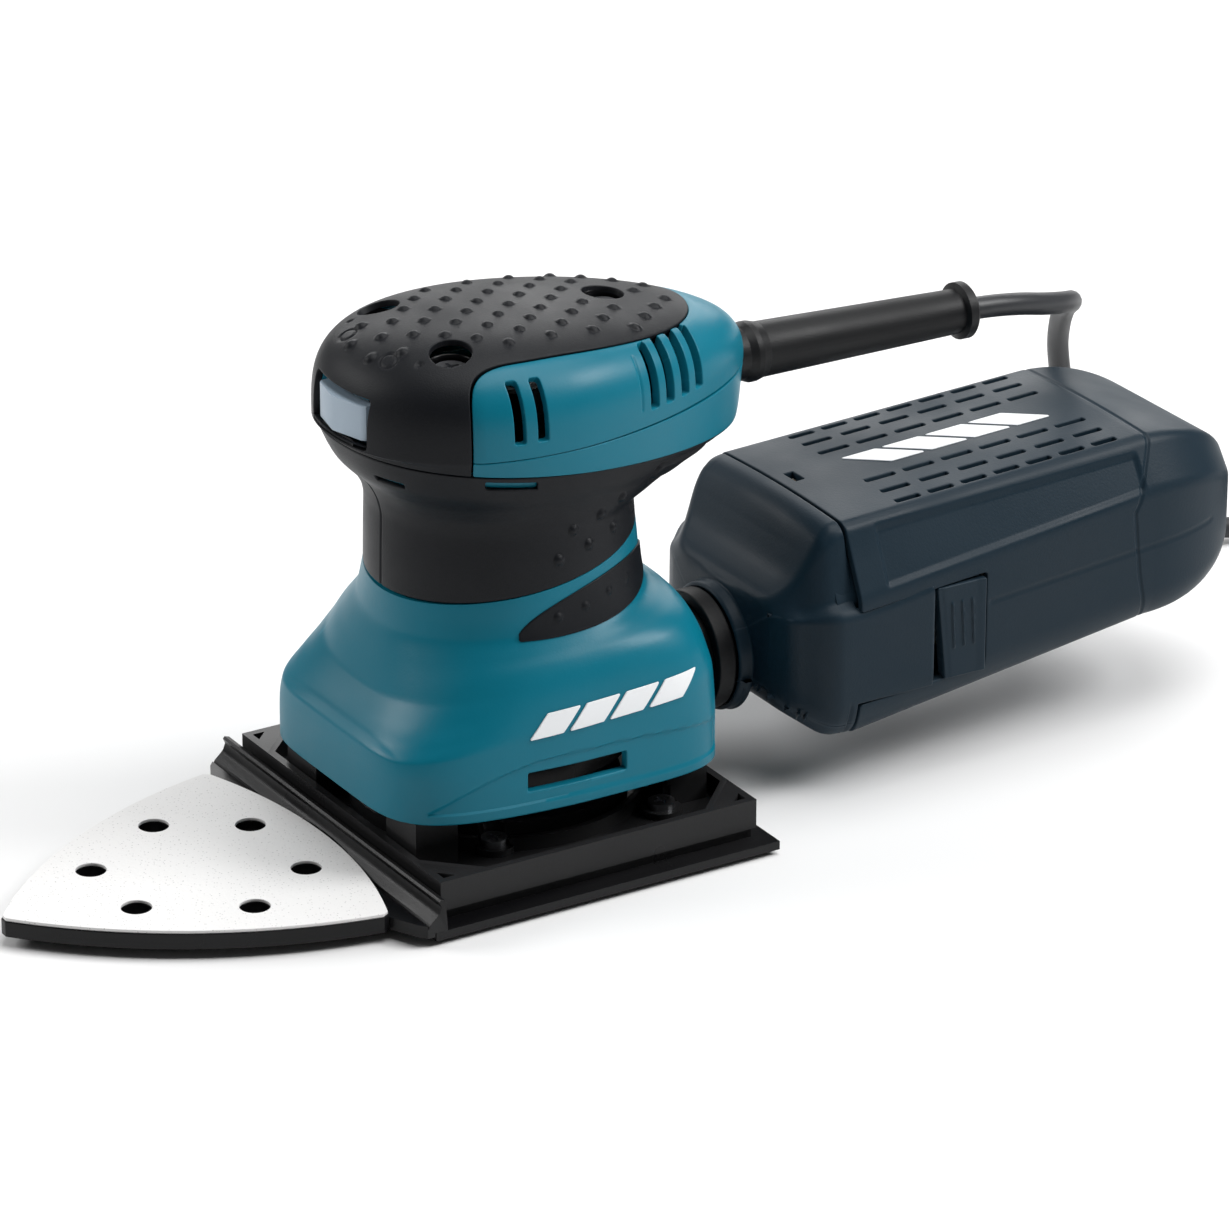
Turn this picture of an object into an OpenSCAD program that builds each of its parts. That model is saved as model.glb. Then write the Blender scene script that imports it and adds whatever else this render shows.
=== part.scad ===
// Detail mouse sander: a palm-grip orbital sander with a square pad, a delta nose pad and a clip-on
// dust box. Millimetres. +X is the tool's left, -Y its front (the delta tip), +Z up. The origin lies
// on the spindle axis, in the plane of the sanding face.

/* [Sanding base] */
// Width of the square pad's flange
pad_w = 112; // [106:1:118]
// Length of the square pad's flange
pad_l = 100; // [98:0.5:102]
// Height of the tray's rim above the sanding face
tray_top = 13.8; // [13:0.1:15]
// Radius of the orbit that the pad makes
orbit_r = 0.75; // [0.5:0.05:1.0]
// Distance from the delta's centre to its corners
delta_r = 55.2; // [50:0.2:56]
// Radius of the delta's bowed sides
delta_side_r = 138; // [120:1:200]
// Diameter of the six dust holes in the delta sheet
delta_hole_d = 7.8; // [6:0.2:9]

/* [Motor unit] */
// Height where the lower housing ends and the top cover begins
parting_z = 114; // [113:0.5:115]
// Rise of the top cover above the parting line
cover_h = 25.2; // [24:0.2:28]
// Wall thickness of the moulded shells
wall = 2.4; // [2:0.1:2.8]
// Thickness of the elastomer grips
grip_t = 1.2; // [0.8:0.1:1.4]
// Width of one cooling slot
vent_w = 1.8; // [1.2:0.1:2.4]

/* [Motor] */
// Diameter of the stator core
stator_d = 59.6; // [56:0.2:59.8]
// Diameter of the armature core
armature_d = 34; // [32:0.5:34.5]
// Diameter of the motor shaft
shaft_d = 8; // [7:0.5:8]

/* [Dust box] */
// Height of the suction spigot's axis
spigot_z = 32.7; // [32:0.1:33.5]
// Diameter of the suction spigot
spigot_d = 26; // [25:0.5:26]
// Where the nozzle piece meets the case, behind the spindle
case_y = 86; // [85:0.5:88]
// Where the case's rounded end begins
case_end_y = 178; // [170:1:184]
// Length of the rounded end
case_cap = 35; // [30:1:38]
// Wall thickness of the dust case
case_wall = 2; // [1.6:0.1:2.4]

/* [Cord] */
// Diameter of the mains cord
cord_d = 6; // [5:0.1:6]
// Length of the guard outside the housing
guard_l = 68; // [55:1:80]

/* [Hidden] */
$fn = 64;
gap = 0.3;
run = 0.05;
shell_sides = 60;

// Colours
teal = "#1c788a";
elastomer = "#2c2d30";
black = "#17181a";
slate = "#2b3a42";
steel = "#a9adb1";
copper = "#b06b3a";

// Heights of the base
face_t = 0.8;
flange_top = 3.1;
tray_bottom = 5.9;
tray_w = pad_w - 9.6;
tray_l = pad_l - 8.1;
tray_wall = 2;
tray_floor = 7.9;
delta_bottom = 2.1;
delta_top = 6.4;
sheet_top = 7.2;
delta_y = -86;
tower_top = 21.2;
// Box towers round the rubber legs' feet: inner side, outer side and outer face
tower_x = [18, 33];
tower_y = 42.5;
tower_depth = 12;
leg_x = 25.5;
leg_y = 35;
leg_r = 4.4;

// Heights of the motor unit
skirt_z = 22;
plate_z = 38;
plate_t = 3.5;
bracket_z = 111.5;
bearing_r = 11;
bearing_h = 7;
upper_bearing_z = 114;
lower_bearing_z = 40;
core_z = 62;
core_h = 30;
commutator_z = 98.5;
brush_z = 104.5;
commutator_r = 11;
screw_spots = [[18, -23.2], [-18, -23.2], [0, 31]];
screw_seat = 131.6;
post_end = 120.3;

// Sections of the lower housing, from the skirt up:
// [height, half width, front length, rear length, front power, rear power, tilt along Y]
skirt = [[22, 45, 46, 45, 5.5, 5.5, 0], [30, 45, 46, 45, 5.5, 5.5, 0.02],
    [43, 44.6, 46, 44.6, 5.2, 5.2, 0.09], [48, 43.2, 44.8, 43.8, 4.4, 4.4, 0.1],
    [54, 40.5, 41.5, 41, 3.4, 3.4, 0.08], [60, 37.5, 37.8, 38, 2.6, 2.6, 0.05],
    [66, 35.2, 34.8, 35.6, 2.1, 2.1, 0.02]];
neck = [[77.4, 34.4, 33.7, 34.7, 2, 2, 0.18], [84, 34.2, 33.5, 34.5, 2, 2, 0.06],
    [90, 34, 33.3, 34.3, 2, 2, 0], [94, 34.2, 34, 45, 2, 1.95, 0],
    [98, 35, 36.2, 56, 2.1, 1.85, -0.02], [102, 36.4, 41.4, 63.5, 2.2, 1.75, -0.06],
    [107.2, 37.6, 45.3, 68.5, 2.25, 1.7, -0.12]];
rim = [parting_z, 38.2, 46.6, 71, 2.25, 1.65, 0];
// Share of the cover's height at each of its sections
cover_steps = [0, 0.2, 0.4, 0.57, 0.71, 0.82, 0.9, 0.95, 0.98, 0.997];
// Plan of the elastomer patch on top of the cover
patch_half_w = 28.4;
patch_rear = 53;
patch_front_y = -26.8;
patch_sides = 44;
// Cooling slots of one side: position along Y
vent_ys = [-14.6, -8.6, 25.8, 31.3, 37, 42.5];
vent_low = 118;
vent_high = 132.8;

// Outline of the dust case at its front and at the start of its rounded end:
// [X, Z] corners of the left half, from the top down
case_front = [[28, 71.3], [36, 57], [36, 24], [33, 17.1]];
case_rear = [[28, 75.1], [34, 62.5], [34, 33], [31, 28.3]];
case_mid_z = 48;

// Route of the mains cord from inside the head, through the guard and down to the floor
cord_route = [[0, 42, 113], [0, 70, 112.2], [0, 100, 111.3], [0, 141, 110], [0, 150, 109.2],
    [-1, 159, 107.6], [-3.5, 168, 105], [-8, 177, 102], [-15, 185, 98.5], [-24, 191.5, 94],
    [-34, 197, 88], [-43, 202, 80], [-50, 206.5, 70], [-54.5, 211, 58.5], [-57, 215.5, 46.5],
    [-58.5, 220.5, 35], [-59.5, 227, 24], [-58.5, 235.5, 15], [-55.5, 246, 8.5], [-51, 257, 5],
    [-46.5, 267.5, 3.8], [-43.5, 278, 3.8], [-43.5, 289, 3.8], [-47, 300, 3.8],
    [-52.5, 310.5, 3.8], [-58.5, 321, 3.8], [-62.5, 333, 3.8]];
// The spare length: a coil of turns side by side and on each other, a tie and the plug's lead
coil_x = -28;
coil_y = 346;
coil_turn_r = 33;
coil_across = 2;
coil_layers = 4;
tie_t = 0.8;
lead_route = [[-14, 382, 21.8], [-6, 382, 20.6], [1, 382, 17.4], [7, 382, 13.4], [12, 382, 10.6],
    [16, 382, 9.5], [20, 382, 9.3]];

// Radius at angle t of an egg-shaped superellipse
function egg_r(t, half_w, length, power) =
    pow(pow(abs(cos(t)) / half_w, power) + pow(abs(sin(t)) / length, power), -1 / power);

// Points of one section, moved inwards by inset
function egg_ring(s, inset = 0, sides = shell_sides) = [for (i = [0 : sides - 1]) let (
    t = 360 * i / sides,
    front = sin(t) < 0,
    r = egg_r(t, s[1] - inset, (front ? s[2] : s[3]) - inset, front ? s[4] : s[5]),
    y = r * sin(t)) [r * cos(t), y, s[0] + s[6] * y]];

// Section of the top cover at share t of its height
function cover_section(t, drop = 0) = let (
    s = pow(1 - pow(t, 3.4), 0.33),
    rear = pow(1 - pow(t, 2.5), 0.36))
    [parting_z + (cover_h - drop) * t, 38.2 * s, 46.6 * s, 71 * rear, 2.25, 1.65 + 0.15 * t,
        -0.045 * t];

// Joins rings of points into a closed solid; a looped one has no ends
module loft(rings, looped = false) {
    n = len(rings[0]);
    m = len(rings);
    walls = [for (j = [0 : (looped ? m : m - 1) - 1], i = [0 : n - 1])
        [j * n + i, (j + 1) % m * n + i, (j + 1) % m * n + (i + 1) % n, j * n + (i + 1) % n]];
    ends = looped ? [] : [[for (i = [0 : n - 1]) i], [for (i = [n - 1 : -1 : 0]) (m - 1) * n + i]];
    polyhedron(points = [for (r = rings) each r], faces = concat(walls, ends), convexity = 10);
}

// Keeps its children's size; moulded shells are made through it
module moulded() {
    $fn = 32;
    resize([0, 0, 0]) children();
}

// Solid dome of the top cover, moved inwards by inset
module cover_dome(inset = 0) {
    loft([for (t = cover_steps) egg_ring(cover_section(t, inset), min(inset, 6 * (1 - t) + 1.1))]);
}

module box(x, y, z) {
    translate([x[0], y[0], z[0]]) cube([x[1] - x[0], y[1] - y[0], z[1] - z[0]]);
}

module disc(r, z0, z1, x = 0, y = 0) {
    translate([x, y, z0]) cylinder(r = r, h = z1 - z0);
}

module ring(outer, inner, z0, z1, x = 0, y = 0) {
    translate([x, y, z0]) difference() {
        cylinder(r = outer, h = z1 - z0);
        translate([0, 0, -1]) cylinder(r = inner, h = z1 - z0 + 2);
    }
}

// Cylinder along +Y on the suction spigot's axis
module along_y(r, y0, y1, z = spigot_z, x = 0) {
    translate([x, y0, z]) rotate([-90, 0, 0]) cylinder(r = r, h = y1 - y0);
}

// ---- Motor unit: shells and grips ----

module motor_housing() {
    outer = concat([for (s = skirt) egg_ring(s)], [egg_ring(neck[0])],
        [for (s = neck) egg_ring(s, grip_t)], [egg_ring(neck[6]), egg_ring(rim)]);
    lining = 3.2;
    inner = [egg_ring(rim, wall), egg_ring(neck[6], lining), egg_ring(neck[4], lining),
        egg_ring(neck[3], lining), egg_ring(neck[2], lining), egg_ring(skirt[6], lining + 0.8),
        egg_ring(skirt[4], wall), egg_ring(skirt[3], wall), egg_ring(skirt[0], wall)];
    window_y = [-17, 11];
    window_z = [27.8, 33];
    color(teal) difference() {
        moulded() difference() {
            loft(concat(outer, inner), looped = true);
            for (side = [0, 1]) mirror([side, 0, 0]) box([40, 50], window_y, window_z);
            guard_axis() cylinder(r = 7.15, h = 40, center = true);
        }
        along_y(spigot_d / 2 + run, 35, 50);
    }
}

module neck_grip() {
    outer = [for (s = neck) egg_ring(s)];
    inner = [for (i = [len(neck) - 1 : -1 : 0]) egg_ring(neck[i], grip_t - 0.05)];
    color(elastomer) moulded() difference() {
        loft(concat(outer, inner), looped = true);
        guard_axis() cylinder(r = 7.15, h = 40, center = true);
    }
}

// Point of the housing's waist at angle t and height z, moved outwards
function section_point(s, t) = let (
    front = sin(t) < 0,
    r = egg_r(t, s[1], front ? s[2] : s[3], front ? s[4] : s[5]))
    [r * cos(t), r * sin(t), s[0] + s[6] * r * sin(t)];

function waist_point(t, z, out) = let (
    rows = [for (s = [skirt[4], skirt[5], skirt[6], neck[0]]) section_point(s, t)],
    i = z < rows[1][2] ? 0 : (z < rows[2][2] ? 1 : 2),
    f = (z - rows[i][2]) / (rows[i + 1][2] - rows[i][2]),
    p = rows[i] + (rows[i + 1] - rows[i]) * f,
    r = norm([p[0], p[1]])) [p[0] * (1 + out / r), p[1] * (1 + out / r), p[2]];

// Leaf-shaped finger grip on the waist: its lower and upper edges at angle t
function leaf_low(t) = 64.2 + 0.0009 * pow(max(t + 10, 0), 2);
function leaf_high(t) = leaf_low(t) + 12 * pow(max(sin((t + 23) * 180 / 96), 0), 0.55);

module grip_leaf() {
    proud = 0.45;
    rings = [for (t = [-22 : 4 : 70]) let (low = leaf_low(t), high = leaf_high(t))
        concat([for (f = [0 : 0.25 : 1]) waist_point(t, low + (high - low) * f, proud)],
            [for (f = [1 : -0.25 : 0]) waist_point(t, low + (high - low) * f, 0.06)])];
    color(elastomer) loft([for (r = rings) [for (i = [len(r) - 1 : -1 : 0]) r[i]]]);
}

module grip_leaf_left() {
    grip_leaf();
}

module grip_leaf_right() {
    mirror([1, 0, 0]) grip_leaf();
}

// Plain name plate on the housing's side, a leaning bar
module badge() {
    lean = 5;
    plate = [[-14, 42.5], [30, 44.5], [30 + lean, 50], [-14 + lean, 48]];
    color("white") moulded() intersection() {
        translate([60, 0, 0]) rotate([90, 0, -90]) mirror([1, 0, 0])
            linear_extrude(height = 30) polygon(plate);
        difference() {
            loft([for (s = skirt) egg_ring(s, -0.7)]);
            loft([for (s = skirt) egg_ring(s, -0.05)]);
        }
    }
}

module badge_left() {
    badge();
}

module badge_right() {
    mirror([1, 0, 0]) badge();
}

// The space that the cover's elastomer fills: the front, and a patch on top
module grip_zone() {
    box([-60, 60], [-60, patch_front_y], [parting_z - 1, 150]);
    patch = egg_ring([0, patch_half_w, 40, patch_rear, 2.4, 2.1, 0], 0, patch_sides);
    translate([0, 0, 124]) linear_extrude(height = 30) polygon([for (p = patch) [p[0], p[1]]]);
}

module cover_openings() {
    box([-10.2, 12.6], [-60, -38], [116, 126]);
    guard_axis() cylinder(r = 7.15, h = 40, center = true);
    for (p = screw_spots) {
        disc(5.2, screw_seat, 150, p[0], p[1]);
        disc(2, parting_z, 150, p[0], p[1]);
    }
    for (side = [0, 1], y = vent_ys) mirror([side, 0, 0])
        box([24, 60], [y - vent_w / 2, y + vent_w / 2], [vent_low, vent_high]);
}

module top_cover() {
    color(teal) moulded() difference() {
        cover_dome();
        difference() {
            cover_dome(wall);
            for (p = screw_spots) {
                disc(6.9, screw_seat - 2, 150, p[0], p[1]);
                disc(4.4, post_end, 150, p[0], p[1]);
            }
        }
        box([-60, 60], [-80, 80], [parting_z - 1, parting_z + 0.01]);
        difference() {
            intersection() {
                cover_dome(-1);
                grip_zone();
            }
            cover_dome(grip_t);
        }
        cover_openings();
    }
}

module top_grip() {
    color(elastomer) moulded() difference() {
        intersection() {
            cover_dome();
            grip_zone();
        }
        cover_dome(grip_t);
        box([-60, 60], [-80, 80], [parting_z - 1, parting_z + 0.01]);
        cover_openings();
    }
}

module cross_screw(head_r, head_h, shank_r, shank_l) {
    difference() {
        union() {
            cylinder(r = head_r, h = head_h);
            translate([0, 0, -shank_l]) cylinder(r = shank_r, h = shank_l + 0.1);
        }
        for (turn = [0, 90]) rotate([0, 0, turn])
            translate([-head_r * 0.6, -0.45, head_h - 1.2]) cube([head_r * 1.2, 0.9, 2]);
    }
}

module cover_screws() {
    color(steel) for (p = screw_spots) translate([p[0], p[1], screw_seat])
        cross_screw(3.9, 2.4, 1.9, screw_seat - bracket_z - 1);
}

// ---- Switch ----

switch_x = 1.2;
switch_y = -40.2;
rocker_z = [116.5, 125.5];
switch_front = -38.6;

module switch_body() {
    ear_t = 1.7;
    color(black) difference() {
        union() {
            box([-11.5, 13], [switch_front, -29], [parting_z, 126.4]);
            for (z = [rocker_z[0] - gap - ear_t, rocker_z[1] + gap])
                box([switch_x - 3, switch_x + 3], [-41.8, switch_front + 0.5], [z, z + ear_t]);
        }
        disc(1.2 + run, 110, 130, switch_x, switch_y);
    }
}

// Two-faced rocker that tips about its vertical pin
module switch_rocker() {
    half = 10.6;
    color("#93a5b1") {
        translate([switch_x, 0, rocker_z[0]]) linear_extrude(height = rocker_z[1] - rocker_z[0])
            polygon([[-half, -44.2], [-half + 1, -45.2], [0, -47.2], [half - 1, -44.6],
                [half, -43.6], [half, -41.2], [2.4, -41.2], [1.4, -39.4], [-1.4, -39.4],
                [-2.4, -41.2], [-half, -41.2]]);
        disc(1.2, rocker_z[0] - gap - 1.5, rocker_z[1] + gap + 1.5, switch_x, switch_y);
    }
}

// ---- Parts inside the motor unit ----

// Carries the upper bearing, the switch, the capacitor and the cord clamp
module bearing_bracket() {
    color(black) difference() {
        union() {
            difference() {
                disc(32, bracket_z, parting_z);
                box([-40, 40], [30.5, 40], [100, 130]);
            }
            box([-13, 13], [-37.5, -28], [bracket_z, parting_z]);
            disc(bearing_r + 3, bracket_z, upper_bearing_z + bearing_h);
            for (p = screw_spots) disc(4.4, bracket_z, post_end - 0.05, p[0], p[1]);
            box([-12, 12], [33, 35.5], [105.5, parting_z]);
            box([-12, 12], [33, 52], [105.5, 108]);
        }
        disc(bearing_r + 0.02, upper_bearing_z, 130);
        disc(6, 100, 130);
        for (p = screw_spots) disc(1.95, 100, 130, p[0], p[1]);
    }
}

module capacitor() {
    color("#c9a227") box([-24, -15], [12, 26], [parting_z, 124]);
}

module cord_clamp() {
    color(black) difference() {
        box([-10.5, 10.5], [43, 51], [108, 118]);
        guard_axis() cylinder(r = cord_d / 2 + run, h = 90, center = true);
        for (x = [-7, 7]) disc(1.6, 100, 130, x, 47);
    }
}

module clamp_screws() {
    color(steel) for (x = [-7, 7]) translate([x, 47, 118]) cross_screw(3, 2, 1.55, 9.9);
}

// Axis of the cord where it leaves the head
guard_slope = 1.71;
guard_start = [0, 73, 112.05];

module guard_axis() {
    translate(guard_start) rotate([-90 - guard_slope, 0, 0]) children();
}

module cord_guard() {
    lip_w = 3.5;
    color(black) guard_axis() rotate_extrude() polygon([[cord_d / 2 + run, -17], [8.4, -17],
        [8.4, -14.5], [7.1, -14.5], [7.1, -2], [7.9, 0], [7.9, 1.5], [7.25, 4],
        [5.9, guard_l - lip_w], [7.5, guard_l - lip_w + 0.6], [7.5, guard_l - 0.6],
        [6.9, guard_l], [cord_d / 2 + run, guard_l]]);
}

module stator_core() {
    flat = 28.6;
    color(steel) difference() {
        disc(stator_d / 2, core_z, core_z + core_h);
        disc(armature_d / 2 + 0.5, core_z - 1, core_z + core_h + 1);
        for (side = [-1, 1]) translate([0, side * (flat + 5), core_z - 1])
            translate([-40, -5, 0]) cube([80, 10, core_h + 2]);
    }
}

module stator_coils() {
    color(copper) for (z = [core_z - 4.5, core_z + core_h]) translate([0, 0, z])
        for (side = [0, 180]) rotate([0, 0, side + 90]) rotate_extrude(angle = 150)
            translate([18.6, 0]) square([9, 4.5]);
}

module brush_holder() {
    color("#8a7a50") difference() {
        box([13, 29], [-5, 5], [brush_z - 5, brush_z + 5]);
        box([12, 27], [-3.1, 3.1], [brush_z - 4.1, brush_z + 4.1]);
    }
}

module carbon_brush() {
    color("#303030") box([commutator_r + 0.1, 22], [-3, 3], [brush_z - 4, brush_z + 4]);
}

module brush_holder_left() {
    brush_holder();
}

module brush_holder_right() {
    mirror([1, 0, 0]) brush_holder();
}

module carbon_brush_left() {
    carbon_brush();
}

module carbon_brush_right() {
    mirror([1, 0, 0]) carbon_brush();
}

module upper_bearing() {
    color(steel) ring(bearing_r, shaft_d / 2 + run, upper_bearing_z, upper_bearing_z + bearing_h);
}

module lower_bearing() {
    color(steel) ring(bearing_r, shaft_d / 2 + run, lower_bearing_z, lower_bearing_z + bearing_h);
}

// Plate across the skirt: holds the lower bearing, the shroud and the rubber legs
module bearing_plate() {
    outline = egg_ring([0, 40.4, 41.2, 40.2, 4.6, 4.6, 0]);
    color("#8d9094") difference() {
        union() {
            translate([0, 0, plate_z]) linear_extrude(height = plate_t)
                polygon([for (p = outline) [p[0], p[1]]]);
            disc(bearing_r + 3, plate_z, lower_bearing_z + bearing_h);
        }
        disc(bearing_r + 0.02, lower_bearing_z, 60);
        disc(6, 30, 60);
        for (sx = [-1, 1], sy = [-1, 1]) disc(1.7, 30, 60, sx * leg_x, sy * leg_y);
    }
}

module dust_shroud() {
    color(black) difference() {
        union() {
            disc(34, skirt_z + 1, plate_z - 0.05);
            box([-12, 12], [28, 41.5], [skirt_z + 1, plate_z - 0.05]);
        }
        disc(31.6, skirt_z, 50);
        along_y(11, 20, 60, z = 31);
    }
}

module dust_spigot() {
    color(black) difference() {
        union() {
            along_y(spigot_d / 2, 41.9, 77);
            along_y(15.2, 45.4, 48);
        }
        along_y(11, 40, 80);
    }
}

// Rubber leg: hangs from the bearing plate, its foot free of the tray by a small gap
module rubber_leg(sx, sy) {
    foot_z = tray_floor + gap + 0.1;
    waist = leg_r - 0.9;
    color("#202123") translate([sx * leg_x, sy * leg_y, 0]) difference() {
        rotate_extrude() polygon([[0, foot_z], [leg_r, foot_z], [leg_r, 12.5], [waist, 15],
            [waist, 31], [leg_r, 33.5], [leg_r, plate_z], [0, plate_z]]);
        translate([0, 0, plate_z - 10]) cylinder(r = 1.6, h = 20);
    }
}

module leg_front_left() {
    rubber_leg(1, -1);
}

module leg_front_right() {
    rubber_leg(-1, -1);
}

module leg_rear_left() {
    rubber_leg(1, 1);
}

module leg_rear_right() {
    rubber_leg(-1, 1);
}

module leg_screws() {
    color(steel) for (sx = [-1, 1], sy = [-1, 1])
        translate([sx * leg_x, sy * leg_y, plate_z + plate_t]) cross_screw(3.2, 2, 1.55, 12.5);
}

// ---- Rotor ----

module armature_shaft() {
    color(steel) disc(shaft_d / 2, 28, 121.4);
}

module armature_core() {
    slots = 12;
    color("#777b80") difference() {
        disc(armature_d / 2, core_z, core_z + core_h);
        disc(shaft_d / 2, 0, 200);
        for (i = [0 : slots - 1]) rotate([0, 0, 360 * i / slots])
            box([armature_d / 2 - 2, armature_d / 2 + 2], [-0.9, 0.9], [0, 200]);
    }
}

module armature_windings() {
    color(copper) {
        ring(14.5, shaft_d / 2, core_z - 4.2, core_z);
        ring(14.5, shaft_d / 2, core_z + core_h, core_z + core_h + 4.2);
    }
}

module commutator() {
    bars = 24;
    color("#b87333") difference() {
        ring(commutator_r, shaft_d / 2, commutator_z, commutator_z + 12);
        for (i = [0 : bars - 1]) rotate([0, 0, 360 * i / bars])
            box([commutator_r - 0.5, commutator_r + 1], [-0.25, 0.25], [0, 200]);
    }
}

// Fan with straight vanes round a hub, on a thin disc
module vane_fan(r, z0, disc_t, vane_h, vanes, hub_r) {
    difference() {
        union() {
            disc(r, z0, z0 + disc_t);
            disc(hub_r, z0, z0 + disc_t + vane_h);
            for (i = [0 : vanes - 1]) rotate([0, 0, 360 * i / vanes])
                box([hub_r - 0.5, r - 0.5], [-0.7, 0.7], [z0 + disc_t - 0.1, z0 + disc_t + vane_h]);
        }
        disc(shaft_d / 2, 0, 200);
    }
}

module cooling_fan() {
    color("#3a3b3d") vane_fan(27, 48.5, 1.5, 6, 12, 7);
}

module dust_fan() {
    color("#3a3b3d") vane_fan(30.2, 28, 1.5, 6.5, 8, 7);
}

// Crank under the dust fan: a counterweight behind, and the off-centre pin that drives the base
module crank_weight() {
    color("#8f9296") {
        disc(9, 21.5, 28);
        difference() {
            disc(24, 21.5, 27.6);
            box([-30, 30], [-30, 3], [0, 60]);
        }
        disc(4, 9.5, 21.6, 0, -orbit_r);
    }
}

// ---- Base: everything that orbits ----

module on_orbit() {
    translate([0, -orbit_r, 0]) children();
}

// Walls round one leg's foot, open towards the middle, and the brace across the tray's corner
module tray_tower(sx, sy) {
    floor_z = tray_floor - 1;
    mirror([sx > 0 ? 0 : 1, 0, 0]) mirror([0, sy > 0 ? 0 : 1, 0]) {
        difference() {
            box(tower_x, [tower_y - tower_depth, tower_y], [floor_z, tower_top]);
            box([tower_x[0] + 1.8, tower_x[1] - 1.8], [0, tower_y - 1.8], [0, 30]);
        }
        translate([tray_w / 2 - 15, tray_l / 2 - 1, floor_z]) rotate([0, 0, -45])
            cube([21, 1.6, tray_top - floor_z]);
        translate([tray_w / 2 - 15, tray_l / 2 - 1, tray_top - 1.4]) rotate([0, 0, -45])
            cube([21, 6, 1.4]);
    }
}

pad_screw_spots = [[34.5, 28], [-34.5, 28], [31, -19], [-31, -19]];

module base_tray() {
    half_w = tray_w / 2;
    half_l = tray_l / 2;
    color(black) on_orbit() difference() {
        union() {
            difference() {
                box([-half_w, half_w], [-half_l, half_l], [tray_bottom, tray_top]);
                box([-half_w + tray_wall, half_w - tray_wall],
                    [-half_l + tray_wall, half_l - tray_wall], [tray_floor, 30]);
            }
            intersection() {
                box([-half_w, half_w], [-half_l, half_l], [tray_bottom, 30]);
                for (sx = [-1, 1], sy = [-1, 1]) tray_tower(sx, sy);
            }
            disc(bearing_r + 3, tray_floor - 1, 18.4);
            ring(38, 36.2, tray_floor - 1, 11.6);
            ring(33.5, 31.5, tray_floor - 1, 13.6);
            for (p = pad_screw_spots) disc(5.2, tray_floor - 1, 9.6, p[0], p[1]);
        }
        disc(bearing_r + 0.02, 11, 30);
        disc(6, 8.4, 30);
        for (p = pad_screw_spots) {
            disc(1.75, 0, 30, p[0], p[1]);
            disc(4, 9.6, 14, p[0], p[1]);
        }
    }
}

module orbit_bearing() {
    color(steel) on_orbit() ring(bearing_r, 4 + run, 11, 11 + bearing_h);
}

module pad_screws() {
    color(steel) on_orbit() for (p = pad_screw_spots) translate([p[0], p[1], 9.6])
        cross_screw(3.4, 1.8, 1.7, 5.5);
}

module square_face() {
    color("#5d5f61") on_orbit()
        box([-pad_w / 2 + 1.5, pad_w / 2 - 1.5], [-pad_l / 2 + 1.5, pad_l / 2 - 1.5], [0, face_t]);
}

module square_pad() {
    step = 3.5;
    half_w = pad_w / 2;
    half_l = pad_l / 2;
    color(black) on_orbit() difference() {
        union() {
            box([-half_w, half_w], [-half_l, half_l], [face_t, flange_top]);
            box([-half_w + step + 2.5, half_w - step - 2.5], [-half_l + step + 1.4,
                half_l - step - 1.4], [flange_top - 0.1, tray_bottom]);
        }
        for (p = pad_screw_spots) disc(1.7, 3.9, 30, p[0], p[1]);
    }
}

// Delta with three bowed sides; corner 0 points forward
module delta_outline(inset = 0) {
    corners = [for (a = [-90, 30, 150]) [delta_r * cos(a), delta_r * sin(a)]];
    half = delta_r * cos(30);
    reach = sqrt(delta_side_r * delta_side_r - half * half);
    intersection() {
        intersection() {
            delta_side(90, reach, inset);
            delta_side(210, reach, inset);
        }
        intersection() {
            delta_side(330, reach, inset);
            circle(r = norm(corners[0]) - 0.9 - inset);
        }
    }
}

// Disc whose rim is the bowed side that faces direction a
module delta_side(a, reach, inset) {
    centre = delta_r / 2 - reach;
    translate([centre * cos(a), centre * sin(a)]) circle(r = delta_side_r - inset, $fn = 180);
}

module delta_slab(z0, z1, inset = 0) {
    translate([0, delta_y, z0]) linear_extrude(height = z1 - z0) delta_outline(inset);
}

module delta_holes() {
    hole_circle = 26.8;
    hole_turn = 27.1;
    for (corner = [-90, 30, 150], side = [-1, 1]) let (a = corner + side * hole_turn)
        disc(delta_hole_d / 2, -1, 20, hole_circle * cos(a), delta_y + hole_circle * sin(a));
}

module delta_sheet() {
    color("#e8e7e4") on_orbit() difference() {
        delta_slab(delta_top, sheet_top, 0.3);
        delta_holes();
    }
}

module delta_pad() {
    color(black) on_orbit() difference() {
        delta_slab(delta_bottom, delta_top);
        delta_holes();
        box([-60, 60], [-pad_l / 2 - gap, 0], [0, 20]);
    }
}

module delta_foam() {
    color("#5d5f61") on_orbit() difference() {
        delta_slab(0, delta_bottom, 5);
        delta_holes();
    }
}

// Upright fence on the flange's front edge, with webs that carry the delta nose
module delta_carrier() {
    half_w = pad_w / 2;
    front = -pad_l / 2;
    color(black) on_orbit() difference() {
        union() {
            translate([-half_w, 0, 0]) rotate([90, 0, 90]) linear_extrude(height = pad_w)
                polygon([[front + 3.3, flange_top], [front + 2.7, 11.4], [front + 1.4, 11.8],
                    [front + 0.9, 11.2], [front + 1.5, 9.8], [front + 0.9, 8.2],
                    [front + 0.2, 7.4], [front - 1.6, 5.8], [front - 2.4, 4.4],
                    [front - 2.4, delta_bottom], [front - gap, delta_bottom],
                    [front - gap, flange_top]]);
            for (side = [0, 1]) mirror([side, 0, 0]) translate([0, 0, delta_bottom])
                linear_extrude(height = 3.4) polygon([[18, front - 2.3], [half_w, front - 2.3],
                    [half_w - 2, front - 4], [half_w - 5, front - 5.5], [44, front - 9]]);
        }
        delta_slab(0, 20, -0.05);
    }
}

// ---- Dust box ----

nozzle_start = 62;
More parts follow.
